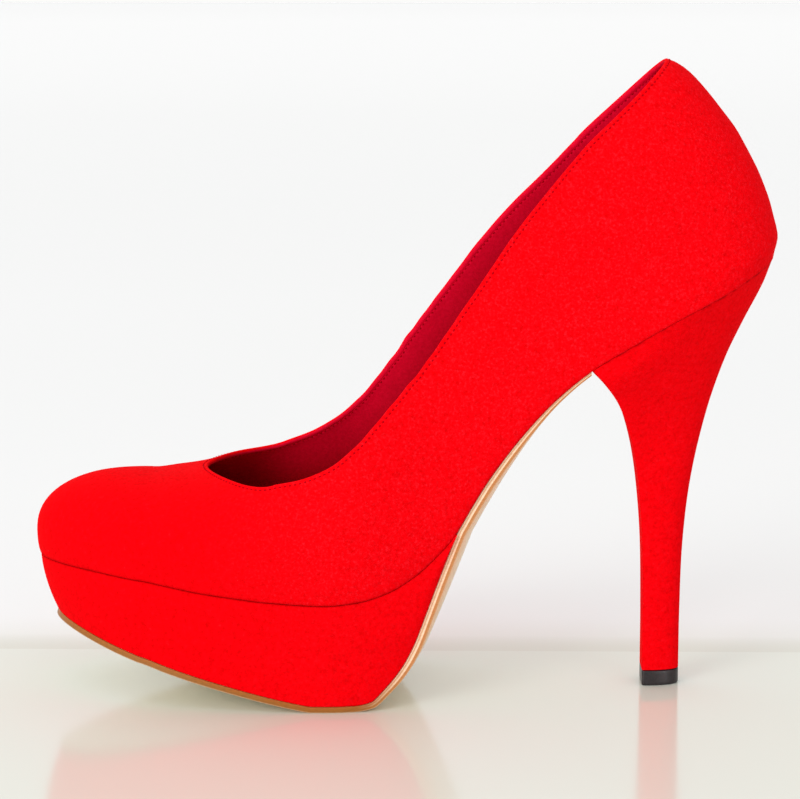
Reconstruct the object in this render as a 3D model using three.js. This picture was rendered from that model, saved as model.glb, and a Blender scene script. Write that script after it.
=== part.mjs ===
// A platform court shoe with a stiletto heel, left foot, in millimetres.
// The toe points to -X, the outer side of the foot is -Y, and +Z is up.
// The origin is on the floor, in the middle of the tread under the ball of the foot.
import * as THREE from 'three';
import { mergeVertices } from 'three/addons/utils/BufferGeometryUtils.js';

// Sizes of the last
const LAST_LENGTH = 215; // toe tip to heel back along the floor
const BALL_WIDTH = 76; // across the bottom of the upper at the ball
const SEAT_WIDTH = 50; // across the bottom of the upper at the heel
const BALL_HEIGHT = 32.2; // floor to the bottom of the upper under the ball
const SEAT_HEIGHT = 128; // floor to the bottom of the upper at the heel back
const TOE_RISE = 6.6; // how far the bottom of the upper climbs towards the toe
const INSTEP_HEIGHT = 60; // scale of the last's height over its bottom
const BACK_HEIGHT = 65.4; // height of the collar over the seat at the heel back
const TOE_ROUND = 31.8; // length of the rounded toe
const HEEL_ROUND = 29.2; // length of the rounded heel
const TOE_SWING = 3; // how far the toe tip lies to the inner side
const TREAD_PLACE = 0.4084; // where the tread lies, as a share of the length from the toe

// Sizes of the materials
const UPPER_WALL = 1.6;
const INSOLE_THICKNESS = 2;
const OUTSOLE_THICKNESS = 1.8;
const FIT_GAP = 0.3; // between pieces that are glued or sewn together

// Sizes of the side wall
const FEATHER_BULGE = 1.3; // how far the wall swells over its bottom edge
const FEATHER_BULGE_HEIGHT = 6.6;
const ARCH_ROUNDNESS = 2.35; // exponent of the rounded section over the foot
const TOE_ROUNDNESS = 2.15; // exponent of the toe outline
const TOE_POINT = 0.36; // how much the toe outline narrows beyond a plain rounded end
const TOE_PROFILE_ROUNDNESS = 2.12; // exponent of the toe seen from the side
const SEAT_ROUNDNESS = 2.1; // exponent of the heel outline
const WIDTH_BLEND_START = 0.4; // shares of the length between which the width
const WIDTH_BLEND_END = 0.8; // changes over from the ball's to the seat's

// Sizes of the collar
const THROAT_FRONT = 0.2325; // share of the length where the throat starts
const THROAT_END = 0.334; // share of the length where the throat's curve ends
const THROAT_ROUNDNESS = 1.7; // exponent of the throat's curve
const BACK_CLIMB = 0.87; // how the collar climbs from the side of the heel to its back

// Sizes of the platform and outsole
const TREAD_LENGTH = 12; // flat spot that stands on the floor
const TOE_SPRING = 20.4; // height of the outsole's underside at the toe tip
const TOE_SPRING_POWER = 1.12;
const PLATFORM_LIP = 0.4; // platform edge beyond the bottom of the upper
const PLATFORM_TAPER = 1.6; // how far the platform side leans in towards the floor
const TOE_UNDERCUT = 4.4; // how far the platform's front leans in towards the floor
const PLATFORM_SWELL = 0.7; // how far the platform's side stands out at mid height
const PLATFORM_END = 0.566; // share of the length where the platform thins out
const WAIST_CROWN = 2.8; // extra thickness in the middle of the arched waist
const CROWN_START = 0.455; // shares of the length where the crown begins,
const CROWN_FULL = 0.56; // is full
const CROWN_FALL = 0.7; // and starts to thin out
const CROWN_LEFT = 0.3; // share of the crown that is left at the breast
const THINNING_START = 0.6; // share of the length where the outsole starts to thin out
const BREAST_THICKNESS = 0.55; // share of the outsole's thickness that is left at the breast
const SOLE_INSET = 0.3; // outsole edge inside the edge of what it covers
const BREAST_PLACE = 0.753; // share of the length where the heel's breast starts

// Sizes of the heel
const STEM_LENGTH = 11.2; // front to back at the foot of the heel
const STEM_WIDTH = 11; // side to side at the foot of the heel
const TIP_THICKNESS = 4.5;
const STEM_PLACE = 0.857; // share of the length at the middle of the heel's foot
const STEM_ROUNDNESS = 2.4; // exponent of the heel's rounded sections

// Number of mesh cells
const TOE_COLUMNS = 9;
const HEEL_COLUMNS = 9;
const VAMP_STATIONS = 4;
const THROAT_STATIONS = 8;
const QUARTER_STATIONS = 22;
const TUCK_ROWS = 2;
const WALL_ROWS = 9;
const INSOLE_STATIONS = 22;
const PLATFORM_STATIONS = 18;
const SPRING_STATIONS = 7;
const WAIST_STATIONS = 24;
const HEEL_TURNS = 12;

// The last, a row for each section from toe to heel.
// along: share of the length. toe: share of the toe rise. lift: share of the way from ball to seat height.
// outer, inner: half widths, as shares of the local width. lean: how far the section leans forward, degrees.
// cone: height of the whole last, as a share of the instep height.
const LAST = [
  { along: 0, toe: 1, lift: 0, outer: 0.41, inner: 0.392, lean: 0, cone: 0.428 },
  { along: 0.07, toe: 0.975, lift: 0, outer: 0.41, inner: 0.392, lean: 0, cone: 0.428 },
  { along: 0.148, toe: 0.81, lift: 0, outer: 0.41, inner: 0.392, lean: 0, cone: 0.428 },
  { along: 0.19, toe: 0.66, lift: 0, outer: 0.449, inner: 0.431, lean: 0, cone: 0.459 },
  { along: 0.232, toe: 0.46, lift: 0, outer: 0.475, inner: 0.453, lean: 0, cone: 0.508 },
  { along: 0.28, toe: 0.28, lift: 0, outer: 0.491, inner: 0.463, lean: 0, cone: 0.6 },
  { along: 0.325, toe: 0.13, lift: 0, outer: 0.5, inner: 0.459, lean: 0, cone: 0.72 },
  { along: 0.4, toe: 0, lift: 0, outer: 0.501, inner: 0.429, lean: 0, cone: 0.95 },
  { along: 0.445, toe: 0, lift: 0.008, outer: 0.486, inner: 0.394, lean: 2, cone: 1.13 },
  { along: 0.483, toe: 0, lift: 0.031, outer: 0.468, inner: 0.364, lean: 5, cone: 1.28 },
  { along: 0.52, toe: 0, lift: 0.078, outer: 0.45, inner: 0.338, lean: 8, cone: 1.39 },
  { along: 0.548, toe: 0, lift: 0.133, outer: 0.437, inner: 0.324, lean: 11, cone: 1.44 },
  { along: 0.571, toe: 0, lift: 0.19, outer: 0.428, inner: 0.32, lean: 14, cone: 1.45 },
  { along: 0.594, toe: 0, lift: 0.276, outer: 0.42, inner: 0.318, lean: 16, cone: 1.42 },
  { along: 0.618, toe: 0, lift: 0.361, outer: 0.418, inner: 0.323, lean: 18.5, cone: 1.4 },
  { along: 0.66, toe: 0, lift: 0.484, outer: 0.419, inner: 0.34, lean: 22.5, cone: 1.37 },
  { along: 0.706, toe: 0, lift: 0.595, outer: 0.43, inner: 0.369, lean: 26, cone: 1.4 },
  { along: 0.753, toe: 0, lift: 0.682, outer: 0.448, inner: 0.404, lean: 28.5, cone: 1.47 },
  { along: 0.8, toe: 0, lift: 0.748, outer: 0.468, inner: 0.442, lean: 30, cone: 1.53 },
  { along: 0.864, toe: 0, lift: 0.834, outer: 0.49, inner: 0.48, lean: 30, cone: 1.6 },
  { along: 0.93, toe: 0, lift: 0.912, outer: 0.49, inner: 0.48, lean: 30, cone: 1.6 },
  { along: 1, toe: 0, lift: 1, outer: 0.49, inner: 0.48, lean: 30, cone: 1.6 },
];

// The collar, as shares of the back height over the bottom of the upper, outer and inner side of the foot.
const COLLAR = [
  { along: THROAT_END, outer: 0.506, inner: 0.54 },
  { along: 0.368, outer: 0.54, inner: 0.59 },
  { along: 0.41, outer: 0.604, inner: 0.675 },
  { along: 0.452, outer: 0.682, inner: 0.762 },
  { along: 0.49, outer: 0.737, inner: 0.825 },
  { along: 0.52, outer: 0.758, inner: 0.853 },
  { along: 0.55, outer: 0.748, inner: 0.853 },
  { along: 0.58, outer: 0.707, inner: 0.817 },
  { along: 0.61, outer: 0.66, inner: 0.765 },
  { along: 0.64, outer: 0.638, inner: 0.734 },
  { along: 0.67, outer: 0.634, inner: 0.722 },
  { along: 0.7, outer: 0.645, inner: 0.723 },
  { along: 0.734, outer: 0.676, inner: 0.735 },
  { along: 0.78, outer: 0.731, inner: 0.765 },
  { along: 0.83, outer: 0.801, inner: 0.808 },
  { along: 0.864, outer: 0.848, inner: 0.845 },
];

// The curve of the heel back over the seat. up: share of the back height. out: share of the heel's round length.
const BACK_CURVE = [
  { up: 0, out: 0 },
  { up: 0.075, out: 0.13 },
  { up: 0.16, out: 0.178 },
  { up: 0.25, out: 0.22 },
  { up: 0.4, out: 0.254 },
  { up: 0.55, out: 0.26 },
  { up: 0.7, out: 0.226 },
  { up: 0.8, out: 0.194 },
  { up: 0.9, out: 0.145 },
  { up: 0.96, out: 0.085 },
  { up: 1, out: 0.025 },
];

// The platform's rear, from the end of the tread up to the waist.
// along: share of the length. up: share of the way from the floor to the waist's start.
const PLATFORM_REAR = [
  { along: 0.459, up: 0.014 },
  { along: 0.478, up: 0.086 },
  { along: 0.501, up: 0.206 },
  { along: 0.5175, up: 0.335 },
  { along: 0.534, up: 0.52 },
  { along: 0.5525, up: 0.735 },
  { along: 0.5765, up: 1 },
];

// The heel block, a row for each level below the seat.
// front: share of the way from the foot's front to the breast. back: share of the way from the foot's
// back to the back of the seat. frontUp, backUp: heights there, as shares of the seat height.
// wide: share of the way from the foot's width to the seat's width.
const HEEL = [
  { front: 0.77, frontUp: 0.727, back: 0.893, backUp: 0.941, wide: 0.872 },
  { front: 0.53, frontUp: 0.68, back: 0.674, backUp: 0.854, wide: 0.641 },
  { front: 0.337, frontUp: 0.617, back: 0.475, backUp: 0.766, wide: 0.41 },
  { front: 0.194, frontUp: 0.543, back: 0.276, backUp: 0.645, wide: 0.231 },
  { front: 0.093, frontUp: 0.445, back: 0.109, backUp: 0.492, wide: 0.118 },
  { front: 0.027, frontUp: 0.328, back: 0.026, backUp: 0.34, wide: 0.051 },
  { front: 0.003, frontUp: 0.172, back: 0.002, backUp: 0.172, wide: 0.015 },
];

// Smooth curve through the rows of a table, with no overshoot between them
function curveThrough(rows, place, column) {
  const s = rows.map((row) => row[place]);
  const v = rows.map((row) => row[column]);
  const last = rows.length - 1;
  const secant = s.slice(1).map((next, i) => (v[i + 1] - v[i]) / (next - s[i]));
  const slope = s.map((_, i) => {
    if (i === 0) return secant[0];
    if (i === last) return secant[last - 1];
    if (secant[i - 1] * secant[i] <= 0) return 0;
    return 2 / (1 / secant[i - 1] + 1 / secant[i]);
  });
  return (at) => {
    let i = 0;
    while (i < last - 1 && at > s[i + 1]) i += 1;
    const width = s[i + 1] - s[i];
    const t = (at - s[i]) / width;
    if (t > 1) return v[last] + secant[last - 1] * (at - s[last]);
    const rise = 3 * t * t - 2 * t * t * t;
    const start = t * (1 - t) * (1 - t);
    const end = t * t * (t - 1);
    return v[i] + rise * (v[i + 1] - v[i]) + width * (start * slope[i] + end * slope[i + 1]);
  };
}

const mix = (a, b, share) => a + (b - a) * share;
const smooth = (t) => THREE.MathUtils.smoothstep(t, 0, 1);
const xAt = (along) => (along - TREAD_PLACE) * LAST_LENGTH;
const alongAt = (x) => x / LAST_LENGTH + TREAD_PLACE;

// The bottom of the upper, seen from the side
const toeLift = curveThrough(LAST, 'along', 'toe');
const seatLift = curveThrough(LAST, 'along', 'lift');
const SLOPE_STEP = 0.05;

function featherHeight(x) {
  const along = alongAt(x);
  return BALL_HEIGHT + TOE_RISE * toeLift(along) + (SEAT_HEIGHT - BALL_HEIGHT) * seatLift(along);
}

function slopeOf(height, x) {
  return (height(x + SLOPE_STEP) - height(x - SLOPE_STEP)) / (2 * SLOPE_STEP);
}

// The height that lies a gap away from a surface, measured square to it
function offsetHeight(height, x, gap) {
  return height(x) + gap * Math.hypot(1, slopeOf(height, x));
}

// Half widths of the bottom of the upper, and the section's lean and height
const outerShare = curveThrough(LAST, 'along', 'outer');
const innerShare = curveThrough(LAST, 'along', 'inner');
const leanDegrees = curveThrough(LAST, 'along', 'lean');
const coneShare = curveThrough(LAST, 'along', 'cone');

function halfWidth(x, side) {
  const along = alongAt(x);
  const blend = smooth((along - WIDTH_BLEND_START) / (WIDTH_BLEND_END - WIDTH_BLEND_START));
  const share = side < 0 ? outerShare(along) : innerShare(along);
  return share * mix(BALL_WIDTH, SEAT_WIDTH, blend);
}

const leanAt = (x) => THREE.MathUtils.degToRad(leanDegrees(alongAt(x)));
const coneHeight = (x) => coneShare(alongAt(x)) * INSTEP_HEIGHT;

// Columns run round the shoe: straight stations with a fan at the toe and one at the heel.
// reach and spread are the shares of the fan's length and half width.
const TOE_X = xAt(0) + TOE_ROUND;
const SEAT_X = xAt(1) - HEEL_ROUND;
const THROAT_X = xAt(THROAT_FRONT);
const THROAT_END_X = xAt(THROAT_END);
const BREAST_X = xAt(BREAST_PLACE);

function fan(count, roundness, narrowing) {
  return Array.from({ length: count }, (_, i) => {
    const turn = ((i + 1) / count) * (Math.PI / 2);
    const reach = Math.sin(turn) ** (2 / roundness);
    const spread = i + 1 === count ? 0 : Math.cos(turn) ** (2 / roundness);
    return { reach, spread: spread * (1 - narrowing * reach) };
  });
}

const toeFan = fan(TOE_COLUMNS, TOE_ROUNDNESS, TOE_POINT).reverse();
const heelFan = fan(HEEL_COLUMNS, SEAT_ROUNDNESS, 0);

function between(start, end, count) {
  return Array.from({ length: count }, (_, i) => mix(start, end, i / count));
}

// Stations crowd together where the throat's curve turns quickly
const throatCurve = Array.from({ length: THROAT_STATIONS }, (_, i) => {
  const turn = (i / THROAT_STATIONS) * (Math.PI / 2);
  return THROAT_X + (THROAT_END_X - THROAT_X) * (1 - Math.cos(turn));
});
const upperStations = [
  ...between(TOE_X, THROAT_X, VAMP_STATIONS),
  ...throatCurve,
  ...between(THROAT_END_X, SEAT_X, QUARTER_STATIONS),
  SEAT_X,
];

// Half of a section over the foot: a tucked-in bottom edge, then a rounded arch to the middle.
// turn is 0 at the widest place and a right angle at the top.
function archPoint(half, cone, turn, roundness) {
  return {
    out: (half + FEATHER_BULGE) * Math.max(Math.cos(turn), 0) ** (2 / roundness),
    up: FEATHER_BULGE_HEIGHT + (cone - FEATHER_BULGE_HEIGHT) * Math.sin(turn) ** (2 / ARCH_ROUNDNESS),
  };
}

function tuckPoint(half, share) {
  const turn = share * (Math.PI / 2);
  return {
    out: half + FEATHER_BULGE * Math.sin(turn),
    up: FEATHER_BULGE_HEIGHT * (1 - Math.cos(turn)),
  };
}

function turnAtHeight(cone, up) {
  const share = (up - FEATHER_BULGE_HEIGHT) / (cone - FEATHER_BULGE_HEIGHT);
  return Math.asin(share ** (ARCH_ROUNDNESS / 2));
}

function turnAtWidth(half, out) {
  return Math.acos((out / (half + FEATHER_BULGE)) ** (ARCH_ROUNDNESS / 2));
}

// How far round the section the collar cuts it
const collarOuter = curveThrough(COLLAR, 'along', 'outer');
const collarInner = curveThrough(COLLAR, 'along', 'inner');

function collarHeight(x, side) {
  return BACK_HEIGHT * (side < 0 ? collarOuter : collarInner)(alongAt(x));
}

function collarTurn(x, side) {
  if (x <= THROAT_X) return Math.PI / 2;
  if (x >= THROAT_END_X) return turnAtHeight(coneHeight(x), collarHeight(x, side));
  const endTurn = turnAtHeight(coneHeight(THROAT_END_X), collarHeight(THROAT_END_X, side));
  const endHalf = halfWidth(THROAT_END_X, side);
  const endWidth = archPoint(endHalf, coneHeight(THROAT_END_X), endTurn, ARCH_ROUNDNESS).out;
  const short = (THROAT_END_X - x) / (THROAT_END_X - THROAT_X);
  const open = (1 - short ** THROAT_ROUNDNESS) ** (1 / THROAT_ROUNDNESS);
  return turnAtWidth(halfWidth(x, side), endWidth * open);
}

function fanCollarTurn(column, side) {
  const sideHeight = collarHeight(SEAT_X, side);
  const up = mix(sideHeight, BACK_HEIGHT, column.reach ** BACK_CLIMB);
  return turnAtHeight(coneHeight(SEAT_X), up);
}

const backShare = curveThrough(BACK_CURVE, 'up', 'out');
const backOffset = (up) => HEEL_ROUND * backShare(Math.min(up / BACK_HEIGHT, 1));

// The shoe's middle line curves to the inner side ahead of the tread
const swingAt = (x) => (x < 0 ? TOE_SWING * (x / xAt(0)) ** 2 : 0);

// A point of the last over station x, out to one side and up along the section's lean
function lastPoint(x, side, out, up) {
  const lean = leanAt(x);
  const base = featherHeight(x);
  const y = swingAt(x) + side * out;
  return new THREE.Vector3(x - up * Math.sin(lean), y, base + up * Math.cos(lean));
}

// One column of the upper's wall, from its bottom edge to the collar or the middle of the vamp
function sectionRows(half, cone, endTurn, roundness = ARCH_ROUNDNESS) {
  const rows = [];
  for (let i = 0; i < TUCK_ROWS; i += 1) rows.push(tuckPoint(half, i / TUCK_ROWS));
  for (let i = 0; i <= WALL_ROWS; i += 1) {
    rows.push(archPoint(half, cone, (endTurn * i) / WALL_ROWS, roundness));
  }
  return rows;
}

function toeColumn(column, side, inset) {
  const cone = coneHeight(TOE_X) - inset;
  const sideways = sectionRows(halfWidth(TOE_X, side) - inset, cone, Math.PI / 2);
  const forwards = sectionRows(TOE_ROUND - inset, cone, Math.PI / 2, TOE_PROFILE_ROUNDNESS);
  return sideways.map(({ out, up }, row) => {
    const x = TOE_X - forwards[row].out * column.reach;
    return lastPoint(x, side, out * column.spread, up);
  });
}

function stationColumn(x, side, inset) {
  const half = halfWidth(x, side);
  const rows = sectionRows(half - inset, coneHeight(x) - inset, collarTurn(x, side));
  return rows.map(({ out, up }) => lastPoint(x, side, out, up));
}

function heelColumn(column, side, inset) {
  const half = halfWidth(SEAT_X, side) - inset;
  const rows = sectionRows(half, coneHeight(SEAT_X) - inset, fanCollarTurn(column, side));
  return rows.map(({ out, up }) => {
    const x = SEAT_X + (HEEL_ROUND - inset + backOffset(up)) * column.reach;
    return lastPoint(x, side, out * column.spread, up);
  });
}

function upperSheet(side, inset) {
  return [
    ...toeFan.map((column) => toeColumn(column, side, inset)),
    ...upperStations.map((x) => stationColumn(x, side, inset)),
    ...heelFan.map((column) => heelColumn(column, side, inset)),
  ];
}

// Triangles of a grid of points, wound the other way for the far side
function gridTriangles(columns, flip) {
  const triangles = [];
  for (let i = 0; i + 1 < columns.length; i += 1) {
    for (let j = 0; j + 1 < columns[i].length; j += 1) {
      const [a, b] = [columns[i][j], columns[i + 1][j]];
      const [c, d] = [columns[i + 1][j + 1], columns[i][j + 1]];
      triangles.push(flip ? [a, c, b] : [a, b, c], flip ? [a, d, c] : [a, c, d]);
    }
  }
  return triangles;
}

// Closed solid from loose triangles: shared corners are welded and empty triangles dropped
const WELD = 1e-3;

function solidFrom(triangles) {
  const loose = new THREE.BufferGeometry();
  const corners = triangles.flat().flatMap((p) => [p.x, p.y, p.z]);
  loose.setAttribute('position', new THREE.Float32BufferAttribute(corners, 3));
  const welded = mergeVertices(loose, WELD);
  const kept = [];
  for (let i = 0; i < welded.index.count; i += 3) {
    const [a, b, c] = [0, 1, 2].map((k) => welded.index.getX(i + k));
    if (a !== b && b !== c && c !== a) kept.push(a, b, c);
  }
  welded.setIndex(kept);
  if (signedVolume(welded) < 0) welded.setIndex(kept.reverse());
  welded.computeVertexNormals();
  return welded;
}

function signedVolume(geometry) {
  const corner = [0, 1, 2].map(() => new THREE.Vector3());
  let volume = 0;
  for (let i = 0; i < geometry.index.count; i += 3) {
    corner.forEach((p, k) => p.fromBufferAttribute(geometry.attributes.position, geometry.index.getX(i + k)));
    volume += corner[0].dot(corner[1].clone().cross(corner[2])) / 6;
  }
  return volume;
}

// Closed solid through a row of rings. Each ring runs down one side and back up the other,
// and the end rings are closed by strips from side to side.
function loft(rings) {
  const closed = rings.map((ring) => [...ring, ring[0]]);
  return solidFrom([
    ...gridTriangles(closed, false),
    ...gridTriangles(acrossStrips(rings[0]), false),
    ...gridTriangles(acrossStrips(rings[rings.length - 1]), true),
  ]);
}

function acrossStrips(ring) {
  const half = ring.length / 2;
  return Array.from({ length: half }, (_, i) => [ring[i], ring[ring.length - 1 - i]]);
}

// Upper: outer and inner sheet of the wall, joined along the bottom edge and round the collar
function upperGeometry() {
  const triangles = [];
  for (const side of [-1, 1]) {
    const outside = upperSheet(side, 0);
    const inside = upperSheet(side, UPPER_WALL);
    const top = TUCK_ROWS + WALL_ROWS;
    const collarStart = TOE_COLUMNS + VAMP_STATIONS;
    const bottomRim = outside.map((column, i) => [inside[i][0], column[0]]);
    const collarRim = outside.map((column, i) => [column[top], inside[i][top]]).slice(collarStart);
    triangles.push(...gridTriangles(outside, side > 0), ...gridTriangles(inside, side < 0));
    triangles.push(...gridTriangles(bottomRim, side > 0), ...gridTriangles(collarRim, side > 0));
  }
  return solidFrom(triangles);
}

// Outline columns for the flat pieces: x and the half widths, with the fans drawn in by an inset
function outline(inset, stations, toeLength, heelLength) {
  const at = (x) => ({ x, outer: halfWidth(x, -1) - inset, inner: halfWidth(x, 1) - inset });
  const scaled = (base, x, spread) => ({ x, outer: base.outer * spread, inner: base.inner * spread });
  const columns = stations.map(at);
  if (toeLength) {
    const base = at(TOE_X);
    columns.unshift(...toeFan.map((c) => scaled(base, TOE_X - toeLength * c.reach, c.spread)));
  }
  if (heelLength) {
    const base = at(SEAT_X);
    columns.push(...heelFan.map((c) => scaled(base, SEAT_X + heelLength * c.reach, c.spread)));
  }
  return columns;
}

// Insole: a board inside the wall, standing on the same surface as the upper
function insoleGeometry() {
  const inset = UPPER_WALL + FIT_GAP;
  const stations = [...between(TOE_X, SEAT_X, INSOLE_STATIONS), SEAT_X];
  const columns = outline(inset, stations, TOE_ROUND - inset, HEEL_ROUND - inset);
  return loft(columns.map(({ x, outer, inner }) => [
    lastPoint(x, -1, outer, 0),
    lastPoint(x, -1, outer, INSOLE_THICKNESS),
    lastPoint(x, 1, inner, INSOLE_THICKNESS),
    lastPoint(x, 1, inner, 0),
  ]));
}

// The top face of the outsole: toe spring, tread, the platform's rear and the waist
const TREAD_START_X = -TREAD_LENGTH / 2;
const SOLE_TOE_X = xAt(0) + TOE_UNDERCUT;
const WAIST_ALONG = PLATFORM_REAR[PLATFORM_REAR.length - 1].along;
const rearRows = [
  { along: alongAt(TREAD_START_X), up: 0 },
  { along: alongAt(-TREAD_START_X), up: 0 },
  ...PLATFORM_REAR,
];
const rearShare = curveThrough(rearRows, 'along', 'up');

const waistHeight = (x) => offsetHeight(featherHeight, x, -FIT_GAP);

function soleHeight(x) {
  if (x < TREAD_START_X) {
    const share = (TREAD_START_X - x) / (TREAD_START_X - SOLE_TOE_X);
    return OUTSOLE_THICKNESS + TOE_SPRING * share ** TOE_SPRING_POWER;
  }
  const waistX = xAt(WAIST_ALONG);
  if (x > waistX) return waistHeight(x);
  return mix(OUTSOLE_THICKNESS, waistHeight(waistX), rearShare(alongAt(x)));
}

// The tread is exactly flat, also where the curves ahead of it and behind it start
function soleSlope(x) {
  return Math.abs(x) <= -TREAD_START_X ? 0 : slopeOf(soleHeight, x);
}

// Platform: fills the space between the upper and the outsole, leaning in towards the floor

function platformTaper(x) {
  return PLATFORM_TAPER * (1 - smooth((alongAt(x) - TREAD_PLACE) / (WAIST_ALONG - TREAD_PLACE)));
}

function platformGeometry() {
  const stations = [...between(TOE_X, xAt(PLATFORM_END), PLATFORM_STATIONS), xAt(PLATFORM_END)];
  const tops = outline(-PLATFORM_LIP, stations, TOE_ROUND + PLATFORM_LIP, 0);
  const feet = outline(0, stations, TOE_ROUND - TOE_UNDERCUT, 0);
  return loft(tops.map((top, i) => {
    const foot = feet[i];
    const taper = platformTaper(foot.x) * Math.min(foot.outer / halfWidth(TOE_X, -1), 1);
    const topZ = offsetHeight(featherHeight, top.x, -FIT_GAP);
    const footZ = offsetHeight(soleHeight, foot.x, FIT_GAP);
    const edge = (side, topHalf, footHalf) => {
      const low = new THREE.Vector3(foot.x, swingAt(foot.x) + side * footHalf, footZ);
      const high = new THREE.Vector3(top.x, swingAt(top.x) + side * topHalf, topZ);
      const middle = low.clone().lerp(high, 0.5);
      middle.y += side * PLATFORM_SWELL * Math.min(1, topHalf / PLATFORM_TAPER);
      return [low, middle, high];
    };
    const outer = edge(-1, top.outer, Math.max(foot.outer - taper, 0));
    const inner = edge(1, top.inner, Math.max(foot.inner - taper, 0));
    return [...outer, ...inner.reverse()];
  }));
}

// Outsole: a thin strip square to its own curve, thicker in the middle of the waist
const CROWN_SHARES = [1, 0.75, 0.45, 0.15, -0.15, -0.45, -0.75, -1];

function crownAt(x) {
  const along = alongAt(x);
  const rise = smooth((along - CROWN_START) / (CROWN_FULL - CROWN_START));
  const fall = smooth((along - CROWN_FALL) / (BREAST_PLACE - CROWN_FALL));
  return WAIST_CROWN * rise * mix(1, CROWN_LEFT, fall);
}

function soleThickness(x) {
  const share = (alongAt(x) - THINNING_START) / (BREAST_PLACE - THINNING_START);
  return OUTSOLE_THICKNESS * mix(1, BREAST_THICKNESS, smooth(share));
}

function outsoleGeometry() {
  const endX = BREAST_X - FIT_GAP;
  const stations = [
    ...between(TOE_X, TREAD_START_X, SPRING_STATIONS),
    ...between(TREAD_START_X, -TREAD_START_X, 2),
    ...between(-TREAD_START_X, endX, WAIST_STATIONS),
    endX,
  ];
  const columns = outline(SOLE_INSET, stations, TOE_ROUND - TOE_UNDERCUT - SOLE_INSET, 0);
  return loft(columns.map(({ x, outer, inner }) => {
    const narrow = platformTaper(x) * Math.min(outer / halfWidth(TOE_X, -1), 1);
    const [left, right] = [Math.max(outer - narrow, 0), Math.max(inner - narrow, 0)];
    const slope = soleSlope(x);
    const down = new THREE.Vector3(slope, 0, -1).normalize();
    const top = (share) => {
      const y = swingAt(x) - share * (share > 0 ? left : right);
      return new THREE.Vector3(x, y, soleHeight(x));
    };
    const bottom = (share) => {
      const depth = soleThickness(x) + crownAt(x) * (1 - share * share);
      const point = top(share).addScaledVector(down, depth);
      const past = Math.max(point.x - endX, 0);
      return point.add(new THREE.Vector3(-past, 0, -past * slope));
    };
    return [top(1), ...CROWN_SHARES.map(bottom), top(-1)];
  }));
}

const STEM_FRONT_X = xAt(STEM_PLACE) - STEM_LENGTH / 2;
const STEM_BACK_X = xAt(STEM_PLACE) + STEM_LENGTH / 2;

// Steps round half of a heel section, from its flat front to its back
const heelTurns = Array.from({ length: HEEL_TURNS + 1 }, (_, i) => {
  const turn = (i / HEEL_TURNS) * (Math.PI / 2);
  const spread = i === HEEL_TURNS ? 0 : Math.cos(turn) ** (2 / STEM_ROUNDNESS);
  return { reach: Math.sin(turn) ** (2 / STEM_ROUNDNESS), spread };
});

function mirrored(outerPoints, innerPoints) {
  return [...outerPoints, ...innerPoints.reverse()];
}

function heelRing({ front, frontUp, back, backUp, wide }) {
  const [frontX, backX] = [mix(STEM_FRONT_X, BREAST_X, front), mix(STEM_BACK_X, xAt(1), back)];
  const half = mix(STEM_WIDTH, SEAT_WIDTH, wide) / 2;
  const point = (side) => ({ reach, spread }) => new THREE.Vector3(
    mix(frontX, backX, reach),
    side * half * spread,
    SEAT_HEIGHT * mix(frontUp, backUp, reach),
  );
  return mirrored(heelTurns.map(point(-1)), heelTurns.map(point(1)));
}

// The outline of the seat at x, rounded off towards the back
function seatHalfWidth(x, side) {
  if (x <= SEAT_X) return halfWidth(x, side);
  const share = Math.min((x - SEAT_X) / HEEL_ROUND, 1);
  return halfWidth(SEAT_X, side) * (1 - share ** SEAT_ROUNDNESS) ** (1 / SEAT_ROUNDNESS);
}

function seatRing() {
  const point = (side) => ({ reach }) => {
    const x = mix(BREAST_X, xAt(1), reach);
    const z = offsetHeight(featherHeight, x, -FIT_GAP);
    return new THREE.Vector3(x, side * seatHalfWidth(x, side), z);
  };
  return mirrored(heelTurns.map(point(-1)), heelTurns.map(point(1)));
}

function footRing(z) {
  const foot = { front: 0, frontUp: z / SEAT_HEIGHT, back: 0, backUp: z / SEAT_HEIGHT, wide: 0 };
  return heelRing(foot);
}

function heelGeometry() {
  return loft([seatRing(), ...HEEL.map(heelRing), footRing(TIP_THICKNESS + FIT_GAP)]);
}

function heelTipGeometry() {
  return loft([footRing(TIP_THICKNESS), footRing(0)]);
}

// Colours and gloss of the materials
const SUEDE = { color: 0xd8081a, roughness: 0.92, metalness: 0 };
const LINING = { color: 0x8c1018, roughness: 0.7, metalness: 0 };
const SOLE_LEATHER = { color: 0xc08a4c, roughness: 0.55, metalness: 0 };
const TIP_RUBBER = { color: 0x1a1214, roughness: 0.5, metalness: 0 };

function part(name, geometry, look) {
  const mesh = new THREE.Mesh(geometry, new THREE.MeshStandardMaterial(look));
  mesh.name = name;
  return mesh;
}

const shoe = new THREE.Group();
shoe.name = 'platform_stiletto_shoe';
shoe.add(part('upper', upperGeometry(), SUEDE));
shoe.add(part('insole', insoleGeometry(), LINING));
shoe.add(part('platform', platformGeometry(), SUEDE));
shoe.add(part('outsole', outsoleGeometry(), SOLE_LEATHER));
shoe.add(part('heel', heelGeometry(), SUEDE));
shoe.add(part('heel_tip', heelTipGeometry(), TIP_RUBBER));

export default shoe;
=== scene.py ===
"""A platform court shoe with a stiletto heel, left foot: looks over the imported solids.

Shapes are worked out in millimetres, in the frame of the solids, and turned to metres in each mesh.
The toe points to -X, the outer side of the foot is -Y, and +Z is up.
"""

import math
from bisect import bisect_right

import bmesh
import bpy
import numpy as np
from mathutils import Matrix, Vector
from mathutils.bvhtree import BVHTree
from mathutils.kdtree import KDTree


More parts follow.
